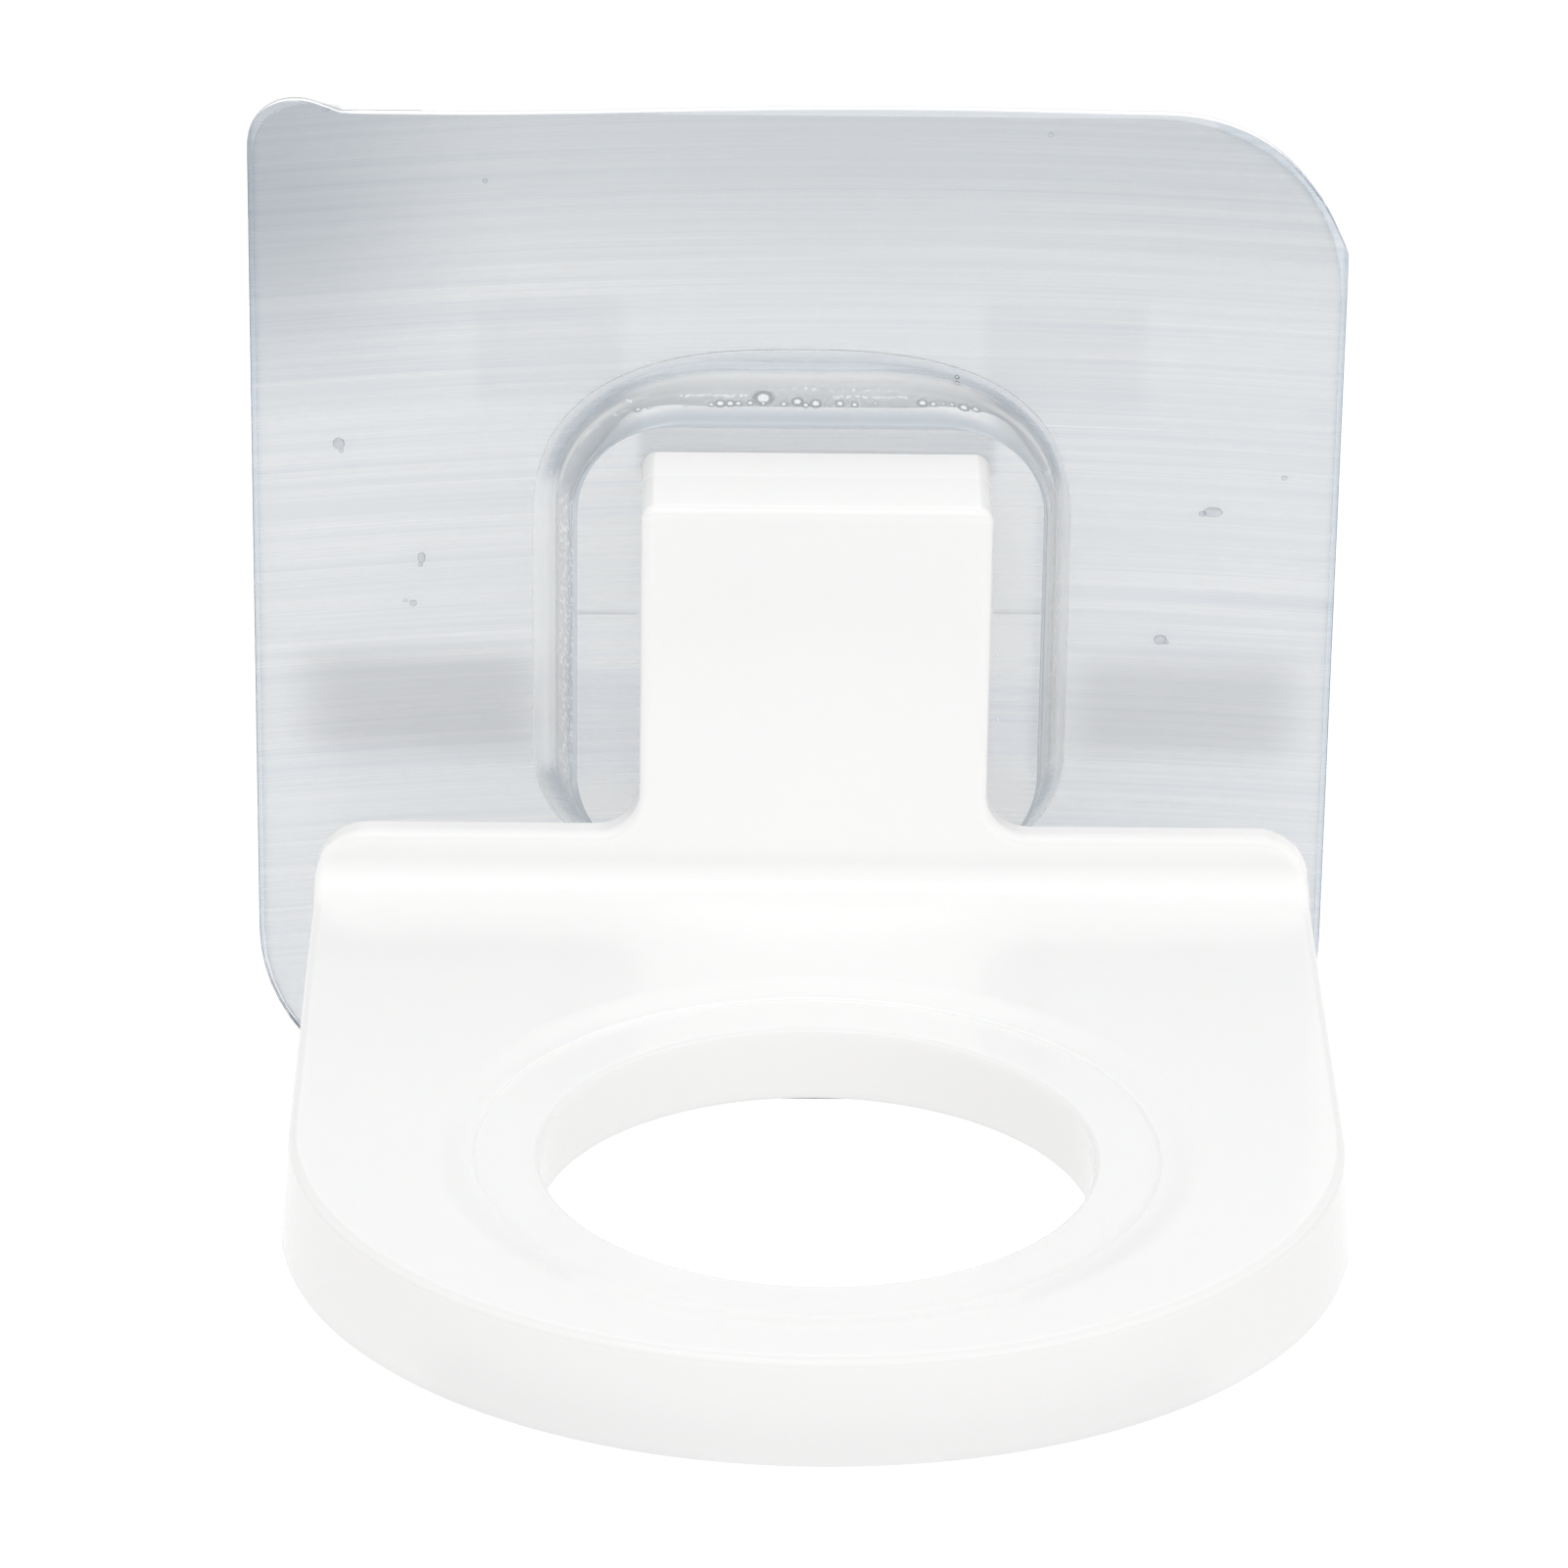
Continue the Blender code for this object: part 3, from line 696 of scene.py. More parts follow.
def clear_plastic():
    """Clear block: a plain flat face, and drawn walls and a flared foot that are a softly frosted
    blue-grey with slightly uneven moulded skin. The walls' darker bands and light ridge are painted
    shade and reflection, and the left wall's pale specks are painted glints of fine bubbles."""
    n = Finish("clear_moulded_plastic")
    n.set(IOR=1.49)
    x, y, _ = n.numbers(n.place)
    height = n.ramp(y, SHEET_FRONT + BOSS_SUNK, SHEET_FRONT - BOSS_RISE, way="LINEAR")
    turned = n.numbers(n.turned)
    way = n.add("VectorMath", Vector=n.add("CombineXYZ", X=turned["X"], Z=turned["Z"]).outputs[0])
    way.operation = "NORMALIZE"
    up = n.numbers(way.outputs["Vector"])["Z"]
    side, corner, top = (
        wall_colour(n, height, stops) for stops in (SIDE_WALL, CORNER_WALL, TOP_WALL)
    )
    # Painted light and shade: the left side is drawn lighter, the right darker
    side = n.shaded(side, n.between(n.rise(x, -17, 18), grey(LEFT_WALL), grey(RIGHT_WALL)))
    # Dense fine bubbles make the left wall pale-speckled over its upper half: the pale specks are
    # painted glints, brighter than white
    speck = n.ramp(n.noise(1.0, 1.0, 0.5, (900.0, 1250.0, 3600.0)), 0.54, 0.62)
    upper = n.times(n.rise(y, -4.4, -5.2), n.rise(y, -9.0, -8.6))
    upper = n.times(upper, n.ramp(turned["X"], -0.5, -0.8))
    speckled = n.between(speck, (0.86, 0.87, 0.89, 1), grey(1.25))
    side = n.shaded(side, n.between(upper, WHITE, speckled))
    colour = n.between(n.ramp(n.math("ABSOLUTE", up), 0.06, 0.3), side, corner)
    colour = n.between(n.ramp(up, 0.82, 0.97), colour, top)
    face = n.ramp(turned["Y"], -0.99, -0.999)
    colour = n.between(face, colour, WHITE)
    cloud = n.between(n.noise(120.0, 3.0), (0.97, 0.975, 0.98, 1), WHITE)
    frost = n.ramp(y, SHEET_FRONT - 0.7 * MM, SHEET_FRONT - 1.4 * MM, 0.3, 0.45)
    clear = n.between(face, n.math("SUBTRACT", 1.0, frost), 1.0, "FLOAT")
    rough = n.between(n.noise(400.0, 2.0), 0.0, 0.04, "FLOAT")
    n.set(Base_Color=n.shaded(colour, cloud), Transmission_Weight=clear, Roughness=rough)
    n.bump(n.noise(260.0, 3.0), 0.08, 0.0001)
    return n.material


# The film's tint by height on the sheet, in millimetres: painted shade and reflection darken it
# towards the top, and painted light lifts it a little at the apron's height
FILM_TONES = (
    (-42.5, 0.880, 0.894, 0.920), (-17.0, 0.930, 0.946, 0.968), (-13.0, 0.930, 0.946, 0.968),
    (-9.0, 0.905, 0.920, 0.942), (12.0, 0.905, 0.920, 0.942), (18.0, 0.896, 0.914, 0.935),
    (25.0, 0.890, 0.906, 0.928), (31.0, 0.826, 0.844, 0.863), (34.5, 0.778, 0.800, 0.824),
    (37.0, 0.733, 0.760, 0.787), (43.0, 0.703, 0.730, 0.764),
)
# Softly bounded darker and lighter places on the film: x from and to, z from and to, softness in x
# and in z, all in millimetres, and how much of the tint is left. Most are painted light and shade:
# a dark band across the sheet just below its middle, a painted shadow above the tongue, darker
# patches beside the boss's top, and painted light over the boss's face and to its right; the last
# two are thin dark level lines.
FILM_SHADES = (
    (-38.5, -20.5, -11.5, -3.1, 3.0, 1.9, 0.80), (22.5, 39.5, -11.5, -3.1, 2.5, 1.9, 0.84),
    (-19.0, 21.0, -11.5, -3.1, 1.5, 1.9, 0.91), (-12.3, 15.4, 13.6, 17.4, 0.6, 0.5, 0.79),
    (15.6, 18.8, -14.0, 14.0, 0.3, 2.0, 1.05), (-17.2, 18.6, -16.0, 17.0, 0.8, 0.8, 1.10),
    (-25.0, -13.6, 18.0, 27.0, 0.7, 1.8, 0.94), (14.6, 27.0, 18.0, 27.0, 0.7, 1.8, 0.94),
    (-17.0, -12.3, 1.70, 1.86, 0.2, 0.06, 0.66), (15.6, 19.3, 2.03, 2.19, 0.2, 0.06, 0.62),
)
# The brush lines sag away from one place across the sheet, by so much times the distance squared
BRUSH_MIDDLE = 7.7 * MM
BRUSH_BOW = 0.98


def cut_edge(n, colour, clear):
    """Gives a thin layer its colour and how clear it is, and a cloudy cut edge: pale along the top,
    painted as lit from above, and blue-grey down the sides with short pale dashes painted as
    glints."""
    turned = n.numbers(n.turned)
    flat = n.ramp(n.math("ABSOLUTE", turned["Y"]), 0.3, 0.7)
    # Painted glints: short pale dashes on the side edges; painted light: the pale top edge
    dashes = n.ramp(n.noise(900.0, 1.0), 0.58, 0.68)
    side = n.between(dashes, (0.30, 0.34, 0.43, 1), (0.80, 0.83, 0.89, 1))
    edge = n.between(n.ramp(turned["Z"], 0.5, 0.9), side, (0.93, 0.94, 0.96, 1))
    n.set(Base_Color=n.between(flat, edge, colour),
          Transmission_Weight=n.ramp(flat, 0.0, 1.0, 0.0, clear, "LINEAR"))


def pad_rim(n, x, z):
    """A darker, bluish rim where the film reaches past the adhesive: down both sides, and fainter
    round the corners but the ear's. It starts where the distance from the corner's centre, which
    runs along with the side, nears the corner's radius."""
    start, end = 27.5 * MM, 42.5 * MM

    def past(length, side):
        return n.ramp(length, side * start, side * end, 0.0, end - start, "LINEAR")

    beside = n.plus(past(x, -1), past(x, 1))
    above = n.plus(n.times(past(z, 1), n.ramp(x, start, start + 5 * MM)), past(z, -1))
    soft = n.ramp(n.distance(beside, above), 14.1 * MM, 14.6 * MM, way="LINEAR")
    sharp = n.ramp(beside, 14.5 * MM, 14.75 * MM, way="LINEAR")
    return n.shaded(n.tint(soft, 0.87, 0.90, 0.925), n.tint(sharp, 0.82, 0.845, 0.865))


def brushed_film():
    """Clear film with fine level brush lines: streaks drawn out along X in tint, gloss and relief,
    over a tint that changes softly with height and deepens towards the top left corner, both
    painted shade and reflection, with painted light and shade in soft patches."""
    n = Finish("brushed_clear_film")
    x, _, z = n.numbers(n.place)
    height = n.ramp(z, FILM_TONES[0][0] * MM, FILM_TONES[-1][0] * MM, way="LINEAR")
    # Painted shade and reflection: the tint deepens towards the top left corner
    corner = n.times(n.rise(x, -21, -42), n.rise(z, 13, 37))
    tone = n.between(corner, colour_stops(n, height, FILM_TONES), (0.54, 0.575, 0.62, 1))
    # Painted light and shade in soft patches
    for left, right, bottom, top, soft_x, soft_z, kept in FILM_SHADES:
        place = n.times(n.inside(x, left, right, soft_x), n.inside(z, bottom, top, soft_z))
        tone = n.shaded(tone, n.tint(place, kept, kept, kept + 0.005))
    tone = n.shaded(tone, pad_rim(n, x, z))
    off = n.plus(x, -BRUSH_MIDDLE)
    bowed = n.plus(z, n.times(n.times(off, off), BRUSH_BOW))
    n.place = n.add("CombineXYZ", X=x, Z=bowed).outputs["Vector"]
    fine = n.noise(1.0, 2.0, 0.6, (16.0, 16.0, 5200.0))
    long = n.noise(1.0, 1.0, 0.5, (6.0, 6.0, 2300.0))
    broad = n.noise(1.0, 3.0, 0.6, (22.0, 22.0, 600.0))
    patchy = n.noise(1.0, 2.0, 0.5, (50.0, 50.0, 160.0))
    lines = n.plus(n.times(fine, 0.58), n.plus(n.times(long, 0.34), n.times(broad, 0.08)))
    lines = n.plus(n.ramp(lines, 0.34, 0.66, way="LINEAR"), -0.5)
    streak = n.plus(n.times(lines, n.ramp(patchy, 0.3, 0.7, 0.5, 1.0)), 0.5)
    pale = n.shaded(tone, n.between(streak, (0.84, 0.86, 0.885, 1), (1.13, 1.115, 1.09, 1)))
    cut_edge(n, pale, 0.95)
    drawn = n.add("Tangent")
    drawn.direction_type = "UV_MAP"
    drawn.uv_map = "brush_lines"
    n.set(IOR=1.5, Anisotropic=0.6, Tangent=drawn.outputs["Tangent"],
          Roughness=n.between(fine, 0.18, 0.34, "FLOAT"))
    n.bump(fine, 0.25, 0.00005)
    return n.material


def soft_adhesive():
    """Soft milky adhesive with cloudy patches."""
    n = Finish("soft_milky_adhesive")
    n.set(IOR=1.47, Roughness=0.3)
    milk = n.noise(25.0, 1.0)
    cut_edge(n, n.between(milk, (0.94, 0.95, 0.955, 1), (0.985, 0.99, 0.995, 1)), 0.85)
    return n.material


def blister_film():
    """Grey clear blister with a fine uneven skin."""
    n = Finish("blistered_film")
    tint = n.between(n.noise(1500.0, 3.0), (0.80, 0.83, 0.86, 1), (0.97, 0.98, 1.0, 1))
    rough = n.between(n.noise(900.0, 2.0), 0.05, 0.25, "FLOAT")
    n.set(IOR=1.45, Transmission_Weight=0.85, Base_Color=tint, Roughness=rough)
    n.bump(n.noise(1200.0, 2.0), 0.2, 0.00003)
    return n.material


# ---- clear boss ----

def bowed(reach_x, reach_z, exponent, steps):
    """A quarter of a superellipse about zero as (x, z), from +X to +Z: reach times cosine and sine,
    each to the power 2 over the exponent, so that 2 gives an ellipse and more is squarer."""
    a = np.linspace(0.0, QUARTER, steps + 1)
    c, s = np.cos(a).clip(0), np.sin(a).clip(0)
    return np.stack([reach_x * c ** (2 / exponent), reach_z * s ** (2 / exponent)], 1)


def block_outline(width, height, top, low):
    """A loop about zero as (x, z): four bowed corners joined by lines, counter-clockwise."""
    upper = bowed(*top, 36) + [width - top[0], height - top[1]]
    lower = bowed(*low, 24) + [width - low[0], height - low[1]]
    flip_x, flip_z = np.array([-1.0, 1.0]), np.array([1.0, -1.0])
    corners = [upper, (upper * flip_x)[::-1], lower * flip_x * flip_z, (lower * flip_z)[::-1]]
    runs = []
    for i, corner in enumerate(corners):
        runs += [corner, line(corner[-1], corners[(i + 1) % 4][0], 14)[1:-1]]
    return np.concatenate(runs)


def boss_sections():
    """(run inwards, height above the sheet) up the boss: lip, concave flare, drafted wall and the
    round edge of its face."""
    a = np.linspace(0, QUARTER, 15)
    flare = np.stack([FLARE_RUN * np.sin(a), BOSS_LIP + FLARE_RISE * (1 - np.cos(a))], 1)
    wall_run = FLARE_RUN + DRAFT_RUN
    edge = np.stack([
        wall_run + FACE_EDGE_RUN * (1 - np.cos(a)),
        BOSS_RISE - FACE_EDGE_RISE * (1 - np.sin(a)),
    ], 1)
    wall = line(flare[-1], edge[0], 12)
    return chain(line((0.0, -BOSS_SUNK), (0.0, BOSS_LIP), 3), flare, wall, edge)


def boss_ring(run, height):
    """The boss's section at a run and a height above the sheet, in the shared frame. Its corners
    change in proportion to the spread, from the face's to the foot's."""
    spread = BOSS_RUN - run
    share = spread / BOSS_RUN
    top = FACE_TOP_CORNER + (FOOT_TOP_CORNER - FACE_TOP_CORNER) * share
    low = FACE_LOW_CORNER + (FOOT_LOW_CORNER - FACE_LOW_CORNER) * share
    flat = block_outline(*(BOSS_FACE + spread), top, low)
    return upright(flat, -height) + BOSS_AT + BOSS_LEAN * (1 - share)


BALL_AROUND, BALL_UP = 10, 7
BALL_FACES = 2 * BALL_AROUND * BALL_UP


def balls(centres, radii, around=BALL_AROUND, up=BALL_UP):
    """Closed balls turned inside out, as points and triangles.

    A unit ball is (cosine of latitude times cosine and sine of longitude, sine of latitude); each
    copy is its radius times that plus its centre. The end rings are drawn in to a point.
    """
    latitude = np.linspace(-QUARTER, QUARTER, up + 2)[1:-1]
    longitude = np.arange(around) * 2 * math.pi / around
    unit = np.stack([
        np.outer(np.cos(latitude), np.cos(longitude)),
        np.outer(np.cos(latitude), np.sin(longitude)),
        np.repeat(np.sin(latitude)[:, None], around, 1),
    ], 2).reshape(-1, 3)
    unit = np.concatenate([unit, [[0, 0, -1.0], [0, 0, 1.0]]])
    quads = grid_faces(up, around, closed=True)
    sides = np.concatenate([quads[:, [0, 2, 1]], quads[:, [0, 3, 2]]])
    here = np.arange(around)
    ahead = (here + 1) % around
    south, north = up * around, up * around + 1
    last = (up - 1) * around
    caps = [np.stack([here, ahead, np.full(around, south)], 1),
            np.stack([last + ahead, last + here, np.full(around, north)], 1)]
    faces = np.concatenate([sides] + caps)
    points = np.asarray(centres)[:, None] + np.asarray(radii)[:, None, None] * unit
    faces = faces[None] + (np.arange(len(centres)) * len(unit))[:, None, None]
    return points.reshape(-1, 3), faces.reshape(-1, 3)


# Trapped air, in millimetres: (x, y, z, radius) of the balls along the top wall
TOP_AIR = (
    (-12.24, -5.24, 19.32, 0.36), (-11.41, -5.66, 19.71, 0.24), (-8.58, -6.35, 20.24, 0.19),
    (-7.68, -6.22, 20.30, 0.19), (-6.68, -6.21, 20.21, 0.28), (-5.99, -5.88, 20.10, 0.46),
    (-5.22, -5.91, 20.14, 0.41), (-4.58, -5.98, 20.21, 0.33), (-3.67, -5.89, 20.23, 0.32),
    (-2.66, -4.79, 19.94, 0.88), (-2.67, -6.03, 20.30, 0.22), (-1.07, -6.00, 20.21, 0.32),
    (-0.02, -5.52, 20.13, 0.51), (0.61, -6.13, 20.18, 0.32), (1.39, -5.73, 20.08, 0.51),
    (3.26, -5.79, 20.17, 0.42), (4.39, -6.00, 20.21, 0.33), (5.99, -5.90, 20.33, 0.22),
    (9.63, -5.56, 20.16, 0.46), (10.45, -5.75, 20.21, 0.33), (11.22, -5.58, 20.24, 0.23),
    (11.90, -5.41, 20.10, 0.28), (12.77, -5.23, 19.62, 0.50), (13.70, -4.98, 19.43, 0.40),
    (12.37, -1.30, 20.80, 0.20), (12.35, -1.89, 20.50, 0.24), (12.29, -2.85, 20.33, 0.18),
    (14.00, -3.18, 19.67, 0.22), (13.09, -3.92, 20.01, 0.18), (-12.44, -3.39, 19.68, 0.17),
    (-11.31, -4.06, 20.01, 0.17),
)
# Rows of fine balls as (first x, last x, y, z, how many)
FINE_AIR = (
    (-9.0, -3.9, -5.1, 20.62, 26), (2.8, 8.4, -5.1, 20.60, 26), (-13.2, -11.0, -3.8, 19.72, 9),
    (-8.4, 1.6, -6.9, 20.22, 26), (-2.0, 8.0, -4.2, 20.78, 12),
)
# The path of the fine balls that turn the top left corner, as (x, y, z)
CORNER_AIR = ((-17.55, -5.0, 14.2), (-16.95, -4.6, 15.6), (-16.2, -4.2, 16.8), (-14.4, -4.5, 18.4),
              (-13.0, -4.6, 19.1))
# The balls beside the tongue, as in TOP_AIR
TONGUE_AIR = (
    (-12.55, -8, -0.5, 0.12), (-12.5, -8, -0.9, 0.1), (-12.8, -8, -9.8, 0.13),
    (-12.6, -8, -10.4, 0.1), (-12.6, -8, -11.9, 0.11), (15.85, -8, 1.0, 0.09),
    (15.8, -8, 0.4, 0.12), (15.9, -8, -5.1, 0.12),
)
CORNER_COUNT, LEFT_COUNT, RIGHT_COUNT = 34, 60, 16


def trapped_air_look(name, middle, edge):
    """The skin of a ball of air in clear plastic, painted in place of the light the ball bends and
    reflects: one tone where it is seen straight on, another round its edge, and a little uneven."""
    n = Finish(name)
    away = n.add("LayerWeight", Blend=0.5).outputs["Facing"]
    skin = n.between(n.ramp(away, 0.10, 0.2), middle, edge)
    patchy = n.between(n.noise(2500.0, 2.0), (0.80, 0.83, 0.86, 1), WHITE)
    n.set(Roughness=0.6, Specular_IOR_Level=0.0, Base_Color=n.shaded(skin, patchy))
    return n.material


def trapped_air():
    """Balls of air just inside the boss's walls: a row along the top with finer ones beside it, a
    dense column round the corner and down the left, and a few down the right and by the tongue.
    Down the sides, x follows the wall's slope in proportion to y. The row takes the boss's second
    material and the others its third."""
    chance = np.random.default_rng(11)
    runs = [np.array(TOP_AIR)]
    for first, last, y, z, count in FINE_AIR:
        runs.append(np.stack([
            np.linspace(first, last, count) + chance.normal(0, 0.12, count),
            y + chance.normal(0, 0.12, count), z - chance.uniform(0, 0.08, count),
            chance.uniform(0.09, 0.15, count),
        ], 1))
    along = chance.uniform(0, len(CORNER_AIR) - 1, CORNER_COUNT)
    path = np.stack([np.interp(along, range(len(CORNER_AIR)), at) for at in zip(*CORNER_AIR)], 1)
    path += chance.normal(0, 0.03, path.shape) * (1, 5, 1)
    runs.append(np.column_stack([path, chance.uniform(0.08, 0.13, CORNER_COUNT)]))
    y = chance.uniform(-8.3, -5.6, LEFT_COUNT)
    runs.append(np.stack([
        -17.93 + (-5.46 - y) * 0.241 + chance.uniform(0, 0.08, LEFT_COUNT), y,
        chance.uniform(-9.8, 13.4, LEFT_COUNT), chance.uniform(0.10, 0.14, LEFT_COUNT),
    ], 1))
    y = chance.uniform(-8.2, -6.4, RIGHT_COUNT)
    runs.append(np.stack([
        19.62 - (-6.48 - y) * 0.2, y,
        chance.uniform(-10, 9, RIGHT_COUNT), chance.uniform(0.04, 0.08, RIGHT_COUNT),
    ], 1))
    air = np.concatenate(runs + [np.array(TONGUE_AIR)]) * MM
    points, faces = balls(air[:, :3], air[:, 3])
    return points, faces, np.where(np.arange(len(faces)) < BALL_FACES * len(TOP_AIR), 1, 2)


def let_light_by(piece):
    """Evens a clear piece's normals, and keeps it from darkening what is behind it."""
    even_normals(piece)
    piece.visible_shadow = False
    piece.visible_diffuse = False


def make_boss(material):
    """The clear block: its sections in order, closed by a flat back and a flat face. The large
    balls along its top have painted dark rims round pale middles; the fine ones are painted pale."""
    skin = Skin()
    rings = np.array([boss_ring(run, height) for run, height in boss_sections()])
    skin.grid(rings, closed=True)
    skin.caps(rings[0], rings[-1])
    boss = skin.piece("clear_boss", material, trapped_air())
    # Painted reflection: dark rims and pale middles on the large balls, pale skins on the fine ones
    boss.data.materials.append(trapped_air_look("trapped_air", WHITE, (0.02, 0.025, 0.03, 1)))
    boss.data.materials.append(trapped_air_look("fine_air", WHITE, (0.95, 0.97, 1, 1)))
    let_light_by(boss)
    return boss


# ---- facing sheet ----

def rounded(corners, steps=14):
    """Lines joined by arcs: each corner (x, z, radius) is cut by the circle that touches its two
    sides, whose centre lies radius / (sine of half the corner's angle) in along its middle line."""
    runs = []
    count = len(corners)
    for i, (x, z, radius) in enumerate(corners):
        here = np.array([x, z])
        back = np.array(corners[i - 1][:2]) - here
        ahead = np.array(corners[(i + 1) % count][:2]) - here
        back /= np.linalg.norm(back)
        ahead /= np.linalg.norm(ahead)
        half = math.acos(np.clip(back @ ahead, -1, 1)) / 2
        middle = (back + ahead) / np.linalg.norm(back + ahead)
        centre = here + middle * radius / math.sin(half)
        first = here + back * radius / math.tan(half) - centre
        last = here + ahead * radius / math.tan(half) - centre
        start = math.atan2(first[1], first[0])
        sweep = (math.atan2(last[1], last[0]) - start + math.pi) % (2 * math.pi) - math.pi
        runs.append(arc(*centre, radius, start, start + sweep, steps))
    points = []
    for i, run in enumerate(runs):
        ahead = runs[(i + 1) % count][0]
        gap = float(np.linalg.norm(ahead - run[-1]))
        points += [run, line(run[-1], ahead, max(1, round(gap / (1.5 * MM))))[1:-1]]
    return np.concatenate(points)


def sheet_outline():
    """The sheet's outline as (x, z): a rounded square with the ear at its top left, a corner at the
    top right that meets its side at an angle, a small step low on the right, and a top edge that
    bows up a little towards the right."""
    x, z = rounded(np.array(PAD_CORNERS) * MM).T
    bow = 0.72 * ease((x + 28 * MM) / (34 * MM)) - 0.25 * ease((x - 10 * MM) / (22 * MM))
    near = ease((z - 36 * MM) / (5 * MM)) * (x > -34 * MM)
    return np.stack([x, z + bow * near * MM], 1)


def make_sheet(material):
    """The sheet: rows of its outline, each point drawn in towards the middle by so much, front and
    back, with a thin edge. Its own map is (x, z), so that the brush lines' direction is known."""
    outline = sheet_outline()
    length = np.linalg.norm(outline, axis=1)[:, None]
    inwards = np.concatenate([[0.0, 0.15 * MM, 0.6 * MM, 1.5 * MM], np.linspace(3, 38, 20) * MM])
    rows = [outline * np.maximum(1 - inward / length, 0.02) for inward in inwards]
    front, back = (np.array([upright(row, y) for row in rows]) for y in (SHEET_FRONT, SHEET_BACK))
    skin = Skin()
    skin.grid(strung(front[::-1], 2, back), closed=True)
    skin.caps(front[-1], back[-1])
    sheet = skin.piece("brushed_facing_sheet", material)
    mesh = sheet.data
    place = np.empty(len(mesh.vertices) * 3)
    mesh.vertices.foreach_get("co", place)
    corner = np.empty(len(mesh.loops), int)
    mesh.loops.foreach_get("vertex_index", corner)
    across = place.reshape(-1, 3)[corner][:, [0, 2]]
    drawn = mesh.uv_layers.new(name="brush_lines")
    drawn.data.foreach_set("uv", (across / (2 * HALF_PAD) + 0.5).ravel())
    let_light_by(sheet)
    return sheet


# Marks on the sheet, in millimetres: (x, z, half width, half height)
MARKS = (
    (-35.7, 14.8, 0.45, 0.5), (-35.5, 14.2, 0.2, 0.2), (-29.3, 5.2, 0.3, 0.5),
    (-29.4, 4.6, 0.2, 0.2), (-30.0, 1.3, 0.3, 0.28), (-30.6, 1.5, 0.18, 0.16),
    (32.7, 9.65, 0.75, 0.42), (31.9, 9.5, 0.3, 0.25), (28.9, -1.3, 0.5, 0.42),
    (29.4, -1.5, 0.25, 0.2), (38.2, 12.6, 0.25, 0.2), (-24.2, 36.7, 0.2, 0.2),
    (19.2, 40.9, 0.25, 0.2), (-36.4, 42.4, 0.35, 0.15),
)
BLISTER_HEIGHT = 0.22


def make_marks(material):
    """Small flat blisters on the sheet's front, each a ball pressed flat against it."""
    marks = np.array(MARKS) * MM
    points, faces = balls(np.zeros((len(marks), 3)), np.ones(len(marks)), 16, 9)
    size = np.stack([marks[:, 2], BLISTER_HEIGHT * marks[:, 3], marks[:, 3]], 1)
    centres = upright(marks, SHEET_FRONT)
    skin = Skin()
    skin.patch(points.reshape(len(marks), -1, 3) * size[:, None] + centres[:, None], faces)
    return skin.piece("sheet_blisters", material)


# ---- stage, light and camera ----

def seen_straight(n):
    """1 for rays from the camera, off a gloss or through clear material, else 0."""
    path = n.add("LightPath").outputs
    seen = n.math("MAXIMUM", path["Is Camera Ray"], path["Is Glossy Ray"])
    return n.math("MAXIMUM", seen, path["Is Transmission Ray"])


FLOOR_RADIUS, FLOOR_Z, FLOOR_SIDES = 6.0, -0.7, 96
WORLD_LIGHT = 0.865


def make_stage():
    """A wide pale floor well below the object, which shows white and keeps the object's shadow."""
    mesh = bpy.data.meshes.new("floor")
    disc = arc(0, 0, FLOOR_RADIUS, 0, 2 * math.pi, FLOOR_SIDES)[:-1]
    mesh.from_pydata(at_height(disc, FLOOR_Z).tolist(), [], [list(range(FLOOR_SIDES))])
    n = Finish("pale_floor")
    n.tree.nodes.remove(n.shader)
    matt = n.add("BsdfDiffuse", Color=grey(0.8))
    soft = n.add("BsdfDiffuse", Color=grey(0.3))
    glow = n.add("Emission", Strength=0.8)
    both, mix = n.add("AddShader"), n.add("MixShader")
    surface = n.tree.nodes["Material Output"].inputs["Surface"]
    for socket, value in zip(
        (*both.inputs, *mix.inputs, surface),
        (soft.outputs[0], glow.outputs[0], seen_straight(n), matt.outputs[0], both.outputs[0],
         mix.outputs[0]),
    ):
        n.fill(socket, value)
    mesh.materials.append(n.material)
    floor = put("floor", mesh)


def make_world():
    """White where it is seen, plain soft grey where it lights."""
    world = bpy.data.worlds.new("studio")
    bpy.context.scene.world = world
    world.use_nodes = True
    n = Nodes(world.node_tree)
    strength = n.between(seen_straight(n), WORLD_LIGHT, 1.0, "FLOAT")
    n.feed(n.tree.nodes["Background"], Color=WHITE, Strength=strength)


LAMP_SIZE = 0.9
LIT_PLACE = Vector((0, -0.04, 0))


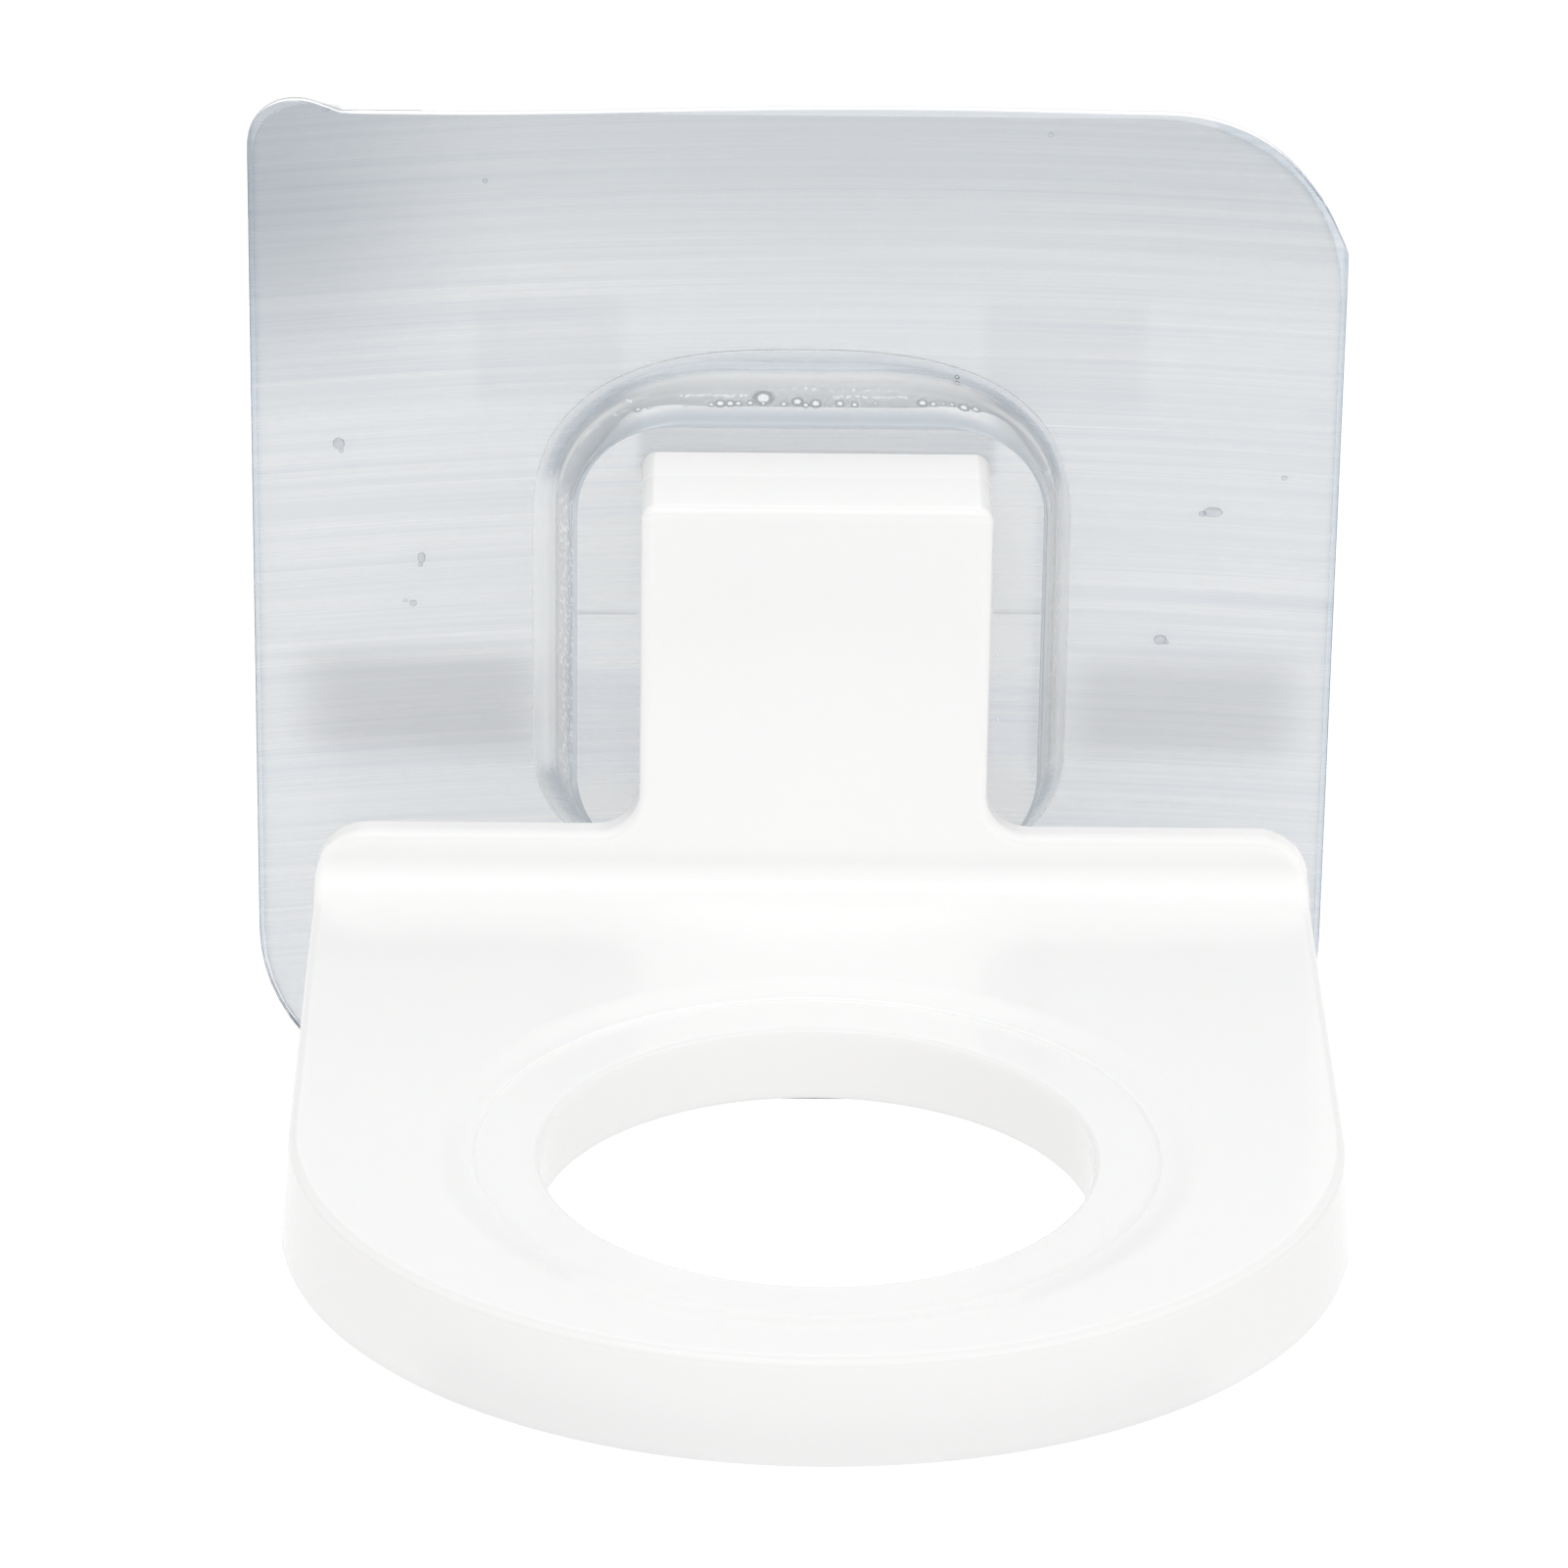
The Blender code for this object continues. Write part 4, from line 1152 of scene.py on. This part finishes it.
def soft_lamp(name, place, power):
    """A square area lamp that looks at the object's middle."""
    data = bpy.data.lights.new(name, "AREA")
    data.size = LAMP_SIZE
    data.energy = power
    lamp = put(name, data)
    lamp.location = place
    lamp.rotation_euler = (LIT_PLACE - Vector(place)).to_track_quat("-Z", "Y").to_euler()


def make_camera():
    """A camera from its place and its pitch, yaw and roll."""
    cp, sp = math.cos(CAMERA_PITCH), math.sin(CAMERA_PITCH)
    ahead = np.array([math.sin(CAMERA_YAW) * cp, math.cos(CAMERA_YAW) * cp, -sp])
    right = np.cross(ahead, [0, 0, 1])
    right /= np.linalg.norm(right)
    up = np.cross(right, ahead)
    c, s = math.cos(CAMERA_ROLL), math.sin(CAMERA_ROLL)
    axes = np.stack([c * right + s * up, c * up - s * right, -ahead], 1)
    data = bpy.data.cameras.new("camera")
    data.lens = LENS
    data.sensor_width = SENSOR
    data.clip_start = 0.01
    turned = Matrix(axes.tolist()).to_4x4()
    turned.translation = Vector(CAMERA_AT)
    camera = put("camera", data)
    camera.matrix_world = turned
    bpy.context.scene.camera = camera


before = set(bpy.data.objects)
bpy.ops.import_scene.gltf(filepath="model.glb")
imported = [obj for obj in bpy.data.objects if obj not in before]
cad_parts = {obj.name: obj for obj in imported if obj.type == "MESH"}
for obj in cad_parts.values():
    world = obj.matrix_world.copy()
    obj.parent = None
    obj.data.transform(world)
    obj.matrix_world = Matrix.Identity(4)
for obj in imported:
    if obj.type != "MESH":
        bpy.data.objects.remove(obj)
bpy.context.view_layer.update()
bpy.context.scene.view_settings.view_transform = "Standard"

holder = make_holder(white_plastic())
boss = make_boss(clear_plastic())
sheet = make_sheet(brushed_film())
marks = make_marks(blister_film())
for piece, node, finish in (
    (holder, "holder", "white_plastic"),
    (boss, "boss", "clear_plastic"),
    (sheet, "facing_sheet", "brushed_film"),
):
    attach(piece, "root")
    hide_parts(node)
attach(marks, "root")
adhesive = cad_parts["adhesive_layer"]
adhesive.data.materials.clear()
adhesive.data.materials.append(soft_adhesive())

make_stage()
make_world()
soft_lamp("key", (-0.25, -0.55, 1.35), 5.5)
soft_lamp("fill", (0.9, -0.7, 0.5), 1.6)
make_camera()
